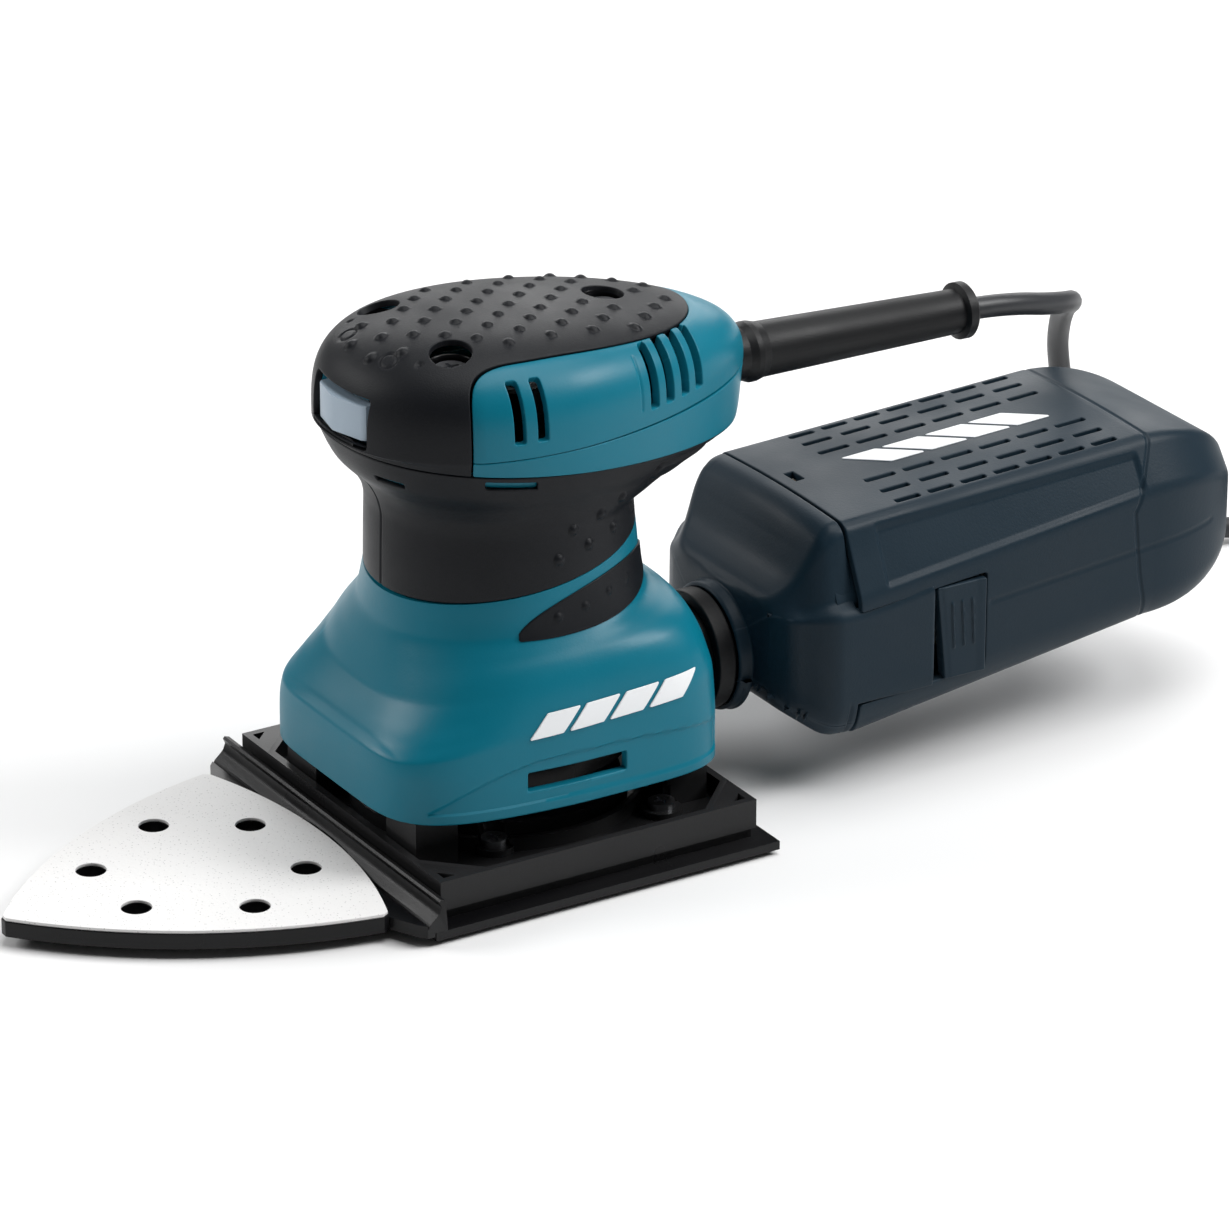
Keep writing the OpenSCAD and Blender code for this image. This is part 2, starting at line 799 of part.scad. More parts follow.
// Radii of the collar's sleeve and of the cavity behind the inlet
sleeve_r = 14.3;
cavity_r = 15;
collar_y = 56.5;

// Rubber collar: slides on the spigot, and the nozzle turns on its sleeve
module nozzle_collar() {
    color(black) difference() {
        union() {
            along_y(16, collar_y, nozzle_start - 0.5);
            along_y(sleeve_r, nozzle_start - 0.6, 76.5);
        }
        along_y(spigot_d / 2 + run, 50, 80);
    }
}

// Corner points of a case section with bevelled corners, as [X, Z], from a left half outline
function case_loop(half, cut) = let (
    right = [for (i = [len(half) - 1 : -1 : 0]) [-half[i][0], half[i][1]]],
    pts = concat(half, right),
    n = len(pts)) [for (i = [0 : n - 1]) each let (
        p = pts[i],
        a = pts[(i + n - 1) % n] - p,
        b = pts[(i + 1) % n] - p) [p + a * (cut / norm(a)), p + (a / norm(a) + b / norm(b)) *
            cut * 0.3, p + b * (cut / norm(b))]];

function case_half(y) = let (f = (y - case_y) / (case_end_y - case_y))
    [for (i = [0 : 3]) case_front[i] + (case_rear[i] - case_front[i]) * f];

function case_ring(y, inset = 0, cut = 3) = let (
    flat = case_loop([for (p = case_half(y)) p - [inset, inset * sign(p[1] - case_mid_z)]], cut))
    [for (p = flat) [p[0], y, p[1]]];

// Section of the rounded end, at share f of its length
function cap_ring(f, inset = 0) = let (
    y = case_end_y + (case_cap - inset) * f,
    s = pow(1 - pow(f, 2.4), 0.5),
    base = case_ring(case_end_y, inset)) [for (p = base) [p[0] * (0.25 * s + 0.75 * pow(s, 0.6)), y,
        case_mid_z + 2 + (p[2] - case_mid_z - 2) * s]];

cap_steps = [0.15, 0.35, 0.55, 0.7, 0.82, 0.9, 0.96, 0.99];
latch_y = [110, 123];
latch_z = [31, 51];
// Gap ahead of the latch, radius of its hinge bead and places of its finger ribs
arm_gap = 1.2;
bead_r = 0.9;
rib_ys = [113.6, 116.9, 120.2];
arm_z = [26, 53];

module case_body(inset = 0, front = case_y) {
    loft(concat([for (y = [front, (front + case_end_y) / 2, case_end_y]) case_ring(y, inset)],
        [for (f = cap_steps) cap_ring(f, inset)]));
}

// Three rows of dashes on each side of the top face
module case_slots() {
    rows = [[12.6, 6], [17.8, 6], [23, 7]];
    first = 104;
    last = 175;
    for (side = [-1, 1], row = rows) let (pitch = (last - first) / row[1])
        for (i = [0 : row[1] - 1])
            box([side * row[0] - 0.8, side * row[0] + 0.8],
                [first + pitch * i, first + pitch * (i + 0.74)], [65, 90]);
}

module dust_case() {
    color(slate) moulded() difference() {
        case_body();
        case_body(case_wall, case_y - 1);
        case_slots();
        for (side = [0, 1]) mirror([side, 0, 0])
            box([33, 40], [case_y - 1, latch_y[1] + gap], [arm_z[0] - gap, arm_z[1] + gap]);
        box([-4, 4], [case_y - 1, case_y + 4], [65, 80]);
    }
}

// Front piece of the box: tapers to the round inlet, with an arm along each side of the case
module dust_nozzle() {
    seam = case_y - gap;
    throat = nozzle_start + 9;
    outer = [inlet_ring(nozzle_start, 16.8), inlet_ring(nozzle_start + 3, 17),
        blend_ring(nozzle_start + 5, 0.35), blend_ring(nozzle_start + 8, 0.72),
        blend_ring(nozzle_start + 13, 0.88), case_ring(seam)];
    inner = [case_ring(seam + 1, case_wall), blend_ring(nozzle_start + 15, 0.86),
        blend_ring(nozzle_start + 12, 0.7), inlet_ring(throat - 1, cavity_r)];
    arm_y = latch_y[0] - arm_gap;
    color(slate) difference() {
        moulded() union() {
            difference() {
                loft(outer);
                loft([inner[3], inner[2], inner[1], inner[0]]);
                along_y(cavity_r, throat - 0.5, throat + 8);
            }
            for (side = [0, 1]) mirror([side, 0, 0])
                box([33.6, 36], [seam - 2, arm_y], arm_z);
        }
        along_y(sleeve_r + run, 50, throat);
    }
}

// Round section with as many points as a case section
function inlet_ring(y, r) = let (base = case_ring(case_y)) [for (p = base) let (
    d = [p[0], p[2] - spigot_z]) [r * d[0] / norm(d), y, spigot_z + r * d[1] / norm(d)]];

function blend_ring(y, f) = let (a = inlet_ring(y, 17), b = case_ring(case_y))
    [for (i = [0 : len(a) - 1]) let (m = a[i] + (b[i] - a[i]) * f) [m[0], y, m[2]]];

// Press tab with three finger ribs: bends about the bead along its front edge to free the case
module latch() {
    color(slate) {
        box([33.8, 35.8], latch_y, latch_z);
        disc(bead_r, latch_z[0], latch_z[1], 34.8, latch_y[0] + 0.15);
        for (y = rib_ys)
            box([35.7, 36.4], [y - 0.5, y + 0.5], [latch_z[0] + 2, latch_z[1] - 4]);
    }
}

module latch_left() {
    latch();
}

module latch_right() {
    mirror([1, 0, 0]) latch();
}

module bag_card() {
    color("#b49a6c") difference() {
        box([-29, 29], [case_y + 0.5, case_y + 2], [25, 63]);
        along_y(12, 50, 100);
    }
}

module dust_bag() {
    color("#d8d2c4") hull() {
        translate([0, case_y + 3, 45]) cube([50, 2, 34], center = true);
        translate([0, case_end_y - 30, 46]) cube([44, 2, 30], center = true);
        translate([0, case_end_y, 47]) cube([40, 2, 12], center = true);
    }
}

// ---- Cord ----

// Tube swept along a route's points
module cord_tube(route, r, sides = 10) {
    n = len(route);
    loft([for (i = [0 : n - 1]) let (
        d = route[min(i + 1, n - 1)] - route[max(i - 1, 0)],
        t = d / norm(d),
        u0 = cross(t, [0, 0, 1]),
        u = u0 / norm(u0),
        v = cross(u, t))
        [for (k = [0 : sides - 1]) route[i] + r * (cos(360 * k / sides) * u
            - sin(360 * k / sides) * v)]]);
}

module power_cord() {
    color(black) cord_tube(cord_route, cord_d / 2);
}

module cord_coil() {
    half_w = cord_d * coil_across / 2;
    color(black) translate([coil_x, coil_y, tie_t]) rotate_extrude()
        translate([coil_turn_r - half_w, 0]) square([half_w * 2, cord_d * coil_layers]);
}

// Strap round the coil's turns
module cord_tie() {
    half_w = cord_d * coil_across / 2;
    high = cord_d * coil_layers;
    inner = coil_turn_r - half_w;
    color("#1b1b1c") translate([coil_x, coil_y, 0]) rotate([0, 0, -30])
        rotate_extrude(angle = 20) difference() {
            translate([inner - tie_t, 0]) square([2 * half_w + 2 * tie_t, high + 2 * tie_t]);
            translate([inner, tie_t]) square([2 * half_w, high]);
        }
}

module plug_lead() {
    color(black) cord_tube(lead_route, cord_d / 2);
}

// Plain two-pin plug with a tapered strain relief
module mains_plug() {
    tip = lead_route[len(lead_route) - 1];
    color(black) translate(tip) rotate([0, 0, -90]) translate([0, -2, 0]) {
        rotate([-90, 0, 0]) cylinder(r1 = 3.9, r2 = 6.2, h = 24);
        translate([-9, 22, -7.5]) cube([18, 16, 15]);
        translate([-12.5, 36, -9.3]) cube([25, 12, 18.6]);
        for (x = [-9.5, 9.5]) translate([x, 47, 0]) rotate([-90, 0, 0]) cylinder(r = 2.4, h = 20);
    }
}

motor_housing();
neck_grip();
grip_leaf_left();
grip_leaf_right();
badge_left();
badge_right();
top_cover();
top_grip();
cover_screws();
switch_body();
switch_rocker();
bearing_bracket();
capacitor();
cord_clamp();
clamp_screws();
cord_guard();
stator_core();
stator_coils();
brush_holder_left();
brush_holder_right();
carbon_brush_left();
carbon_brush_right();
upper_bearing();
lower_bearing();
bearing_plate();
dust_shroud();
dust_spigot();
leg_front_left();
leg_front_right();
leg_rear_left();
leg_rear_right();
leg_screws();
armature_shaft();
armature_core();
armature_windings();
commutator();
cooling_fan();
dust_fan();
crank_weight();
base_tray();
orbit_bearing();
pad_screws();
delta_carrier();
square_pad();
square_face();
delta_pad();
delta_sheet();
delta_foam();
nozzle_collar();
dust_nozzle();
latch_left();
latch_right();
bag_card();
dust_bag();
dust_case();
power_cord();
cord_coil();
plug_lead();
cord_tie();
mains_plug();
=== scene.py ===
"""Looks of the detail mouse sander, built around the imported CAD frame. Lengths are in millimetres
until a mesh is made, where they become metres."""
import math

import bpy
import numpy as np
from mathutils import Matrix, Vector


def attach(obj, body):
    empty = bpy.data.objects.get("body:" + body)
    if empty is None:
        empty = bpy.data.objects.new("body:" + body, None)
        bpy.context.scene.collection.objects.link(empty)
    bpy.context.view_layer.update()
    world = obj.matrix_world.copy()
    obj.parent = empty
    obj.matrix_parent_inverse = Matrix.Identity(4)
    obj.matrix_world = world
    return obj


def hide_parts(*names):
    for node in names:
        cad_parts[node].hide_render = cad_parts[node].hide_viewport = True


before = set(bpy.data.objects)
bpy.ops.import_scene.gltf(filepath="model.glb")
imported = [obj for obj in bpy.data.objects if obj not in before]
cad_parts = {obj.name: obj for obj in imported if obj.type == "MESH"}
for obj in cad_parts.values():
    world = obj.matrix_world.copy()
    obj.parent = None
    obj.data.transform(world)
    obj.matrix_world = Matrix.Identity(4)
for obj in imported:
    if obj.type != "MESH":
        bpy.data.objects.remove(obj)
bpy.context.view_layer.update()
scene = bpy.context.scene
MM = 0.001

# ---------------------------------------------------------------- camera

azimuth, elevation = math.radians(58.632), math.radians(23.774)
DISTANCE, SHIFT_RIGHT, SHIFT_UP = 1662.783, 29.435, 51.089
SENSOR, FOCAL_PX, PHOTO_PX = 36, 6500, 1229
back = Vector((math.sin(azimuth) * math.cos(elevation), -math.cos(azimuth) * math.cos(elevation),
               math.sin(elevation)))
right = Vector((math.cos(azimuth), math.sin(azimuth), 0))
up = back.cross(right)
camera = bpy.data.objects.new("camera", bpy.data.cameras.new("camera"))
scene.collection.objects.link(camera)
place = Matrix((right, up, back)).transposed().to_4x4()
place.translation = (back * DISTANCE + right * SHIFT_RIGHT + up * SHIFT_UP) * MM
camera.matrix_world = place
camera.data.sensor_width = SENSOR
camera.data.lens = SENSOR * FOCAL_PX / PHOTO_PX
camera.data.clip_start, camera.data.clip_end = 0.1, 20
scene.camera = camera


# ---------------------------------------------------------------- materials

def node_setup(name):
    """A node material, its shader, and helpers that add nodes to it."""
    material = bpy.data.materials.new(name)
    material.use_nodes = True
    nodes, links = material.node_tree.nodes, material.node_tree.links
    shader = nodes["Principled BSDF"]

    def add(kind, inputs=None, **settings):
        node = nodes.new(kind)
        for key, value in settings.items():
            setattr(node, key, value)
        for key, value in (inputs or {}).items():
            if isinstance(value, bpy.types.NodeSocket):
                links.new(value, node.inputs[key])
            else:
                node.inputs[key].default_value = value
        return node

    def mix(factor, a, b):
        node = add("ShaderNodeMix", data_type="RGBA")
        for index, value in ((0, factor), (6, a), (7, b)):
            if isinstance(value, bpy.types.NodeSocket):
                links.new(value, node.inputs[index])
            else:
                node.inputs[index].default_value = value
        return node.outputs[2]

    return material, shader, add, mix, links


def linear(red, green, blue):
    """Linear colour from display values, 0 to 255."""
    return [(c / 255 / 12.92 if c / 255 < 0.04045 else ((c / 255 + 0.055) / 1.055) ** 2.4)
            for c in (red, green, blue)] + [1.0]


def surface(name, colour, rough, grain=900, depth=0.1, vary=0.12, wear_and_glint=0.25, metal=0.0, specks=0.0,
            specular=0.5, brushed=None, smudge=0.08):
    """Moulded or machined finish: fine grain bump, uneven colour and roughness, paler edges that are
    part wear and part painted highlight for edge glints.
    """
    material, shader, add, mix, links = node_setup(name)
    where = add("ShaderNodeTexCoord").outputs["Object"]
    if brushed:
        where = add("ShaderNodeMapping", {"Vector": where, "Scale": brushed}).outputs["Vector"]
    fine = add("ShaderNodeTexNoise", {"Vector": where, "Scale": grain, "Detail": 4.0,
                                      "Roughness": 0.6})
    broad = add("ShaderNodeTexNoise", {"Vector": where, "Scale": 38.0, "Detail": 3.0})
    dark = [c * (1 - vary) for c in colour[:3]] + [1]
    light = [min(1, c * (1 + vary)) for c in colour[:3]] + [1]
    result = mix(broad.outputs["Fac"], dark, light)
    if specks:
        dots = add("ShaderNodeTexVoronoi", {"Vector": where, "Scale": grain * 1.1})
        few = add("ShaderNodeMapRange", {"Value": dots.outputs["Distance"], "From Min": 0.06,
                                         "From Max": 0.22, "To Min": specks, "To Max": 0.0})
        result = mix(few.outputs["Result"], result, [c * 0.35 for c in colour[:3]] + [1])
    # Paler colour where Pointiness is high: partly wear, partly a painted highlight that stands in
    # for the glints along edges.
    if wear_and_glint:
        edge = add("ShaderNodeNewGeometry").outputs["Pointiness"]
        wear_and_glint_edge = add("ShaderNodeMapRange", {"Value": edge, "From Min": 0.52, "From Max": 0.62,
                                         "To Min": 0.0, "To Max": wear_and_glint})
        result = mix(wear_and_glint_edge.outputs["Result"], result,
                     [min(1, c * 1.7 + 0.03) for c in colour[:3]] + [1])
    links.new(result, shader.inputs["Base Color"])
    rough_spread = add("ShaderNodeMapRange", {"Value": broad.outputs["Fac"], "From Min": 0.3,
                                              "From Max": 0.7, "To Min": rough - smudge,
                                              "To Max": rough + smudge})
    links.new(rough_spread.outputs["Result"], shader.inputs["Roughness"])
    bump = add("ShaderNodeBump", {"Height": fine.outputs["Fac"], "Strength": depth,
                                  "Distance": 0.0003})
    links.new(bump.outputs["Normal"], shader.inputs["Normal"])
    shader.inputs["Metallic"].default_value = metal
    shader.inputs["Specular IOR Level"].default_value = specular
    return material


TEAL = surface("teal_plastic", linear(2, 108, 129), 0.38, grain=1500, depth=0.10, vary=0.05,
               wear_and_glint=0.25, specular=0.25)
GRIP = surface("grip_elastomer", linear(19, 21, 25), 0.46, grain=2200, depth=0.22, vary=0.10,
               wear_and_glint=0.12, specular=0.18)
# The black's pale edges are set strong: a painted highlight for the glints along its rims, on top of
# wear.
BLACK = surface("black_plastic", linear(10, 10, 12), 0.32, grain=1400, depth=0.12, vary=0.15,
                wear_and_glint=0.45, specular=0.22)
SLATE = surface("slate_plastic", linear(21, 38, 49), 0.43, grain=1500, depth=0.14, vary=0.07,
                wear_and_glint=0.30, specular=0.18)
RUBBER = surface("black_rubber", linear(14, 15, 17), 0.46, grain=1800, depth=0.18, vary=0.12,
                 wear_and_glint=0.15, specular=0.25)
CORD = surface("cord_jacket", linear(34, 36, 40), 0.45, grain=1600, depth=0.15, vary=0.10,
               wear_and_glint=0.0)
PALE = surface("rocker_plastic", linear(150, 166, 180), 0.38, grain=1300, depth=0.06, vary=0.04,
               wear_and_glint=0.15)
WHITE = surface("white_print", linear(238, 240, 242), 0.45, grain=1500, depth=0.05, vary=0.03,
                wear_and_glint=0.0)
FELT = surface("sanding_sheet", linear(229, 228, 227), 0.85, grain=850, depth=0.6, vary=0.03,
               wear_and_glint=0.0, specks=0.7, specular=0.2)
FOAM = surface("foam", linear(30, 31, 32), 0.9, grain=1700, depth=0.7, vary=0.2, wear_and_glint=0.0,
               specular=0.1)
HOOK = surface("hook_face", linear(62, 62, 60), 0.95, grain=2400, depth=0.9, vary=0.2, wear_and_glint=0.0,
               specular=0.1)
STEEL = surface("steel", linear(176, 178, 182), 0.30, grain=900, depth=0.08, vary=0.10, wear_and_glint=0.1,
                metal=1.0, brushed=(1, 1, 0.05))
DARK_STEEL = surface("screw_steel", linear(168, 170, 174), 0.32, grain=900, depth=0.08, vary=0.12,
                     wear_and_glint=0.35, metal=1.0)
CORE = surface("core_laminations", linear(112, 114, 118), 0.42, grain=600, depth=0.5, vary=0.15,
               wear_and_glint=0.2, metal=0.9, brushed=(0.02, 0.02, 4))
ALLOY = surface("cast_alloy", linear(150, 152, 154), 0.5, grain=700, depth=0.4, vary=0.1, wear_and_glint=0.3,
                metal=0.9)
COPPER = surface("copper_wire", linear(176, 98, 52), 0.32, grain=500, depth=0.6, vary=0.15,
                 wear_and_glint=0.1, metal=1.0, brushed=(1, 1, 5))
BRASS = surface("brass", linear(178, 150, 84), 0.33, grain=900, depth=0.1, vary=0.1, wear_and_glint=0.2,
                metal=1.0)
CARBON = surface("carbon", linear(40, 40, 42), 0.6, grain=1600, depth=0.3, vary=0.2, wear_and_glint=0.2)
YELLOW = surface("capacitor_case", linear(196, 160, 40), 0.4, grain=1200, depth=0.08, vary=0.05,
                 wear_and_glint=0.15)
PAPER = surface("filter_paper", linear(214, 206, 190), 0.9, grain=800, depth=0.6, vary=0.08,
                wear_and_glint=0.0, specular=0.15)
CARD = surface("card", linear(172, 146, 104), 0.85, grain=900, depth=0.5, vary=0.12, wear_and_glint=0.1,
               specular=0.2)


# ---------------------------------------------------------------- mesh tools

def make_object(name, verts, faces, material, body, slot=None, replaces=(), sharp=38):
    """A mesh from points in millimetres, riding on a CAD body."""
    mesh = bpy.data.meshes.new(name)
    mesh.from_pydata((np.asarray(verts, float) * MM).tolist(), [], faces)
    mesh.validate()
    mesh.shade_smooth()
    mesh.set_sharp_from_angle(angle=math.radians(sharp))
    mesh.materials.append(material)
    piece = bpy.data.objects.new(name, mesh)
    scene.collection.objects.link(piece)
    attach(piece, body)
    if replaces:
        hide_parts(*replaces)
    return piece


def unit(vectors):
    return vectors / np.maximum(np.linalg.norm(vectors, axis=-1, keepdims=True), 1e-9)


def grid_normals(points, wrap):
    """Outward normals of a grid of points; the first axis may close on itself."""
    if wrap:
        du = np.roll(points, -1, 0) - np.roll(points, 1, 0)
    else:
        du = np.gradient(points, axis=0)
    dv = np.gradient(points, axis=1)
    return unit(np.cross(du, dv))


def smooth_max(a, b, k):
    """The larger of the two, blended over a width of k."""
    h = np.clip(0.5 + 0.5 * (a - b) / k, 0, 1)
    return b + (a - b) * h + k * h * (1 - h)


def smooth_min(a, b, k):
    return -smooth_max(-a, -b, k)


def box_distance(a, b, centre, half, radius=0.0):
    """Signed distance in the plane to a rounded rectangle."""
    da = np.abs(a - centre[0]) - half[0] + radius
    db = np.abs(b - centre[1]) - half[1] + radius
    return np.hypot(np.maximum(da, 0), np.maximum(db, 0)) + np.minimum(np.maximum(da, db), 0) \
        - radius


def clip_faces(p, n, f, quads):
    """Points, normals and faces of the part of the quads where f is below 0."""
    inside = f[quads] < 0
    faces = [tuple(q) for q in quads[inside.all(1)].tolist()]
    new_p, new_n, made = [], [], {}

    def crossing(i, j):
        key = (i, j) if i < j else (j, i)
        if key not in made:
            t = min(max(f[key[0]] / (f[key[0]] - f[key[1]]), 0.02), 0.98)
            made[key] = len(p) + len(new_p)
            new_p.append(p[key[0]] * (1 - t) + p[key[1]] * t)
            new_n.append(n[key[0]] * (1 - t) + n[key[1]] * t)
        return made[key]

    mixed = quads[inside.any(1) & ~inside.all(1)]
    for q in mixed.tolist():
        for triangle in ((q[0], q[1], q[2]), (q[0], q[2], q[3])):
            loop = []
            for k in range(3):
                i, j = triangle[k], triangle[(k + 1) % 3]
                if f[i] < 0:
                    loop.append(i)
                if (f[i] < 0) != (f[j] < 0):
                    loop.append(crossing(i, j))
            if len(loop) >= 3:
                faces.append(tuple(loop))
    all_p = np.concatenate([p, np.array(new_p).reshape(-1, 3)])
    all_n = unit(np.concatenate([n, np.array(new_n).reshape(-1, 3)]))
    # Keep only the points in use
    flat = np.concatenate([np.array(face) for face in faces])
    used, index = np.unique(flat, return_inverse=True)
    sizes = np.array([len(face) for face in faces])
    splits = np.split(index, np.cumsum(sizes)[:-1])
    return all_p[used], all_n[used], [tuple(part.tolist()) for part in splits]


def thicken(p, n, shell_faces, thick, edge, rows):
    """Closed solid below a sheet of faces, its rim rounded in rows steps and edge wide."""
    faces = list(shell_faces)
    count = len(p)
    start = np.concatenate([np.array(face) for face in faces])
    end = np.concatenate([np.roll(np.array(face), -1) for face in faces])
    code, reverse = start * count + end, end * count + start
    open_edge = ~np.isin(code, reverse)
    ea, eb = start[open_edge], end[open_edge]
    outward = np.zeros((count, 3))
    side = np.cross(p[eb] - p[ea], n[ea] + n[eb]) * 0.5
    np.add.at(outward, ea, side)
    np.add.at(outward, eb, side)
    rim = np.unique(np.concatenate([ea, eb]))
    outward = unit(outward[rim])
    place_of = np.full(count, -1)
    place_of[rim] = np.arange(len(rim))
    rings = []
    for k in range(1, rows + 1):
        turn = 0.5 * math.pi * k / rows
        rings.append(p[rim] + outward * edge * math.sin(turn) - n[rim] * edge *
                     (1 - math.cos(turn)))
    if thick > edge:
        rings.append(p[rim] + outward * edge - n[rim] * thick)
    la, lb = place_of[ea], place_of[eb]
    previous, base = rim, count
    for _ in rings:
        now = base + np.arange(len(rim))
        faces += [tuple(x) for x in np.stack([previous[lb], previous[la], now[la], now[lb]],
                                             1).tolist()]
        previous, base = now, base + len(rim)
    inner = base + np.arange(count)
    faces += [tuple(x) for x in np.stack([previous[lb], previous[la], inner[rim][la],
                                          inner[rim][lb]], 1).tolist()]
    faces += [tuple(base + i for i in reversed(face)) for face in shell_faces]
    return np.concatenate([p] + rings + [p - n * thick]), faces


def clip_shell(name, points, keep, material, body, thick=2.0, edge=0.3, wrap=True, flip=False,
               push=None, rows=3, **named):
    """Closed shell over a grid of points, kept where keep is below 0, with rounded edges.
    push moves each point along its normal, and flip turns the normals to the other side."""
    facing = -1 if flip else 1
    normals = grid_normals(points, wrap) * facing
    if push is not None:
        points = points + normals * push[..., None]
        normals = grid_normals(points, wrap) * facing
    nu, nv = points.shape[:2]
    iu = np.arange(nu if wrap else nu - 1)
    a = (iu[:, None] * nv + np.arange(nv - 1)[None, :]).ravel()
    b = (((iu[:, None] + 1) % nu) * nv + np.arange(nv - 1)[None, :]).ravel()
    quads = np.stack([a, b, b + 1, a + 1], 1)[:, ::facing]
    p, n, sheet_faces = clip_faces(points.reshape(-1, 3), normals.reshape(-1, 3),
                                   keep.reshape(-1), quads)
    verts, faces = thicken(p, n, sheet_faces, thick, edge, rows)
    return make_object(name, verts, faces, material, body, **named)


def smooth_rows(keys, values, at):
    """Monotone cubic curves through rows of values."""
    k, v, at = np.asarray(keys, float), np.asarray(values, float), np.asarray(at, float)
    h = np.diff(k)
    d = np.diff(v, axis=0) / h[:, None]
    m = np.zeros_like(v)
    m[0], m[-1] = d[0], d[-1]
    w1, w2 = (2 * h[1:] + h[:-1])[:, None], (h[1:] + 2 * h[:-1])[:, None]
    same = d[:-1] * d[1:] > 0
    safe0, safe1 = np.where(same, d[:-1], 1), np.where(same, d[1:], 1)
    m[1:-1] = np.where(same, (w1 + w2) / (w1 / safe0 + w2 / safe1), 0)
    i = np.clip(np.searchsorted(k, at) - 1, 0, len(k) - 2)
    t, hh = ((at - k[i]) / h[i])[:, None], h[i][:, None]
    return v[i] * (1 + 2 * t) * (1 - t) ** 2 + m[i] * hh * t * (1 - t) ** 2 \
        + v[i + 1] * t * t * (3 - 2 * t) + m[i + 1] * hh * t * t * (t - 1)


def egg_grid(rows, angle, inset=0.0):
    """Points of egg-shaped superellipse sections, [angle, row]."""
    z, half, front, rear, front_n, rear_n, tilt = np.asarray(rows, float).T
    c, s = np.cos(angle)[:, None], np.sin(angle)[:, None]
    length = np.where(s < 0, front, rear) - inset
    power = np.where(s < 0, front_n, rear_n)
    with np.errstate(divide="ignore", invalid="ignore"):
        r = (np.abs(c / (half - inset)) ** power + np.abs(s / length) ** power) ** (-1 / power)
    x, y = r * c, r * s
    return np.stack([x, y, z + tilt * y], -1)


def close_top(points):
    """Gives the last ring, which has shrunk to a point, a clean tip."""
    points[:, -1] = points[:, -2].mean(0)
    return points


def lathe(name, profile, spot, material, body, sides=48, **named):
    """Closed ring from a profile of (radius, z) points, turned about a vertical axis."""
    turn = np.linspace(0, 2 * math.pi, sides, endpoint=False)
    verts = [(spot[0] + r * math.cos(a), spot[1] + r * math.sin(a), z)
             for r, z in profile for a in turn]
    rings = len(profile)
    faces = [(j * sides + i, j * sides + (i + 1) % sides, (j + 1) % rings * sides + (i + 1) % sides,
              (j + 1) % rings * sides + i) for j in range(rings) for i in range(sides)]
    return make_object(name, verts, faces, material, body, **named)


def step(x):
    """Smooth rise from 0 to 1."""
    x = np.clip(x, 0, 1)
    return x * x * (3 - 2 * x)


def bumps(points, centres, radius, height):
    """Low round bumps about the centres."""
    push = np.zeros(points.shape[:-1])
    for centre in centres:
        near = np.linalg.norm(points - np.array(centre), axis=-1) / radius
        push = np.maximum(push, height * np.clip(1 - near ** 2, 0, 1) ** 0.8)
    return push


def groove(distance, width, depth):
    """Fine engraved line where distance is 0."""
    return -depth * np.clip(1 - (distance / width) ** 2, 0, 1)


def both_sides(spots):
    """The points, each followed by its mirror image."""
    return [p for x, y, z in spots for p in ((x, y, z), (-x, y, z))]


# ---------------------------------------------------------------- cord, first of the pieces

def through(points, step_mm):
    """Smooth curve through the points, centripetal, at about step_mm between its points."""
    pts = np.asarray(points, float)
    pts = np.vstack([2 * pts[0] - pts[1], pts, 2 * pts[-1] - pts[-2]])
    out = []
    for i in range(1, len(pts) - 2):
        p0, p1, p2, p3 = pts[i - 1:i + 3]
        t0 = 0.0
        t1 = t0 + np.linalg.norm(p1 - p0) ** 0.5
        t2 = t1 + np.linalg.norm(p2 - p1) ** 0.5
        t3 = t2 + np.linalg.norm(p3 - p2) ** 0.5
        count = max(2, int(np.linalg.norm(p2 - p1) / step_mm))
        for t in np.linspace(t1, t2, count, endpoint=False):
            a1 = (t1 - t) / (t1 - t0) * p0 + (t - t0) / (t1 - t0) * p1
            a2 = (t2 - t) / (t2 - t1) * p1 + (t - t1) / (t2 - t1) * p2
            a3 = (t3 - t) / (t3 - t2) * p2 + (t - t2) / (t3 - t2) * p3
            b1 = (t2 - t) / (t2 - t0) * a1 + (t - t0) / (t2 - t0) * a2
            b2 = (t3 - t) / (t3 - t1) * a2 + (t - t1) / (t3 - t1) * a3
            out.append((t2 - t) / (t2 - t1) * b1 + (t - t1) / (t2 - t1) * b2)
    out.append(pts[-2])
    return np.array(out)


CORD_D = 6.0
cord_exit = (0, 139, 110.06)
cord_down = [cord_exit, (0, 150, 109.2), (-1, 159, 107.6), (-3.5, 168, 105), (-8, 177, 102),
             (-15, 185, 98.5), (-24, 191.5, 94), (-34, 197, 88), (-43, 202, 80),
             (-50, 206.5, 70), (-54.5, 211, 58.5), (-57, 215.5, 46.5), (-58.5, 220.5, 35),
             (-59.5, 227, 24), (-58.5, 235.5, 15), (-55.5, 246, 8.5), (-51, 257, 5),
             (-46.5, 267.5, 3.8), (-43.5, 278, 3.8), (-43.5, 289, 3.8), (-47, 300, 3.8),
             (-52.5, 310.5, 3.8), (-58.5, 321, 3.8), (-62.5, 333, 3.8)]
cord_lead = [(-14, 382, 21.8), (-6, 382, 20.6), (1, 382, 17.4), (7, 382, 13.4),
             (12, 382, 10.6), (16, 382, 9.5), (20, 382, 9.3)]
coil_centre = (-28, 346)
coil_rows = [(36, 3.8), (30, 3.8), (30, 9.8), (36, 9.8), (36, 15.8), (30, 15.8), (30, 21.8),
             (36, 21.8)]
coil = []
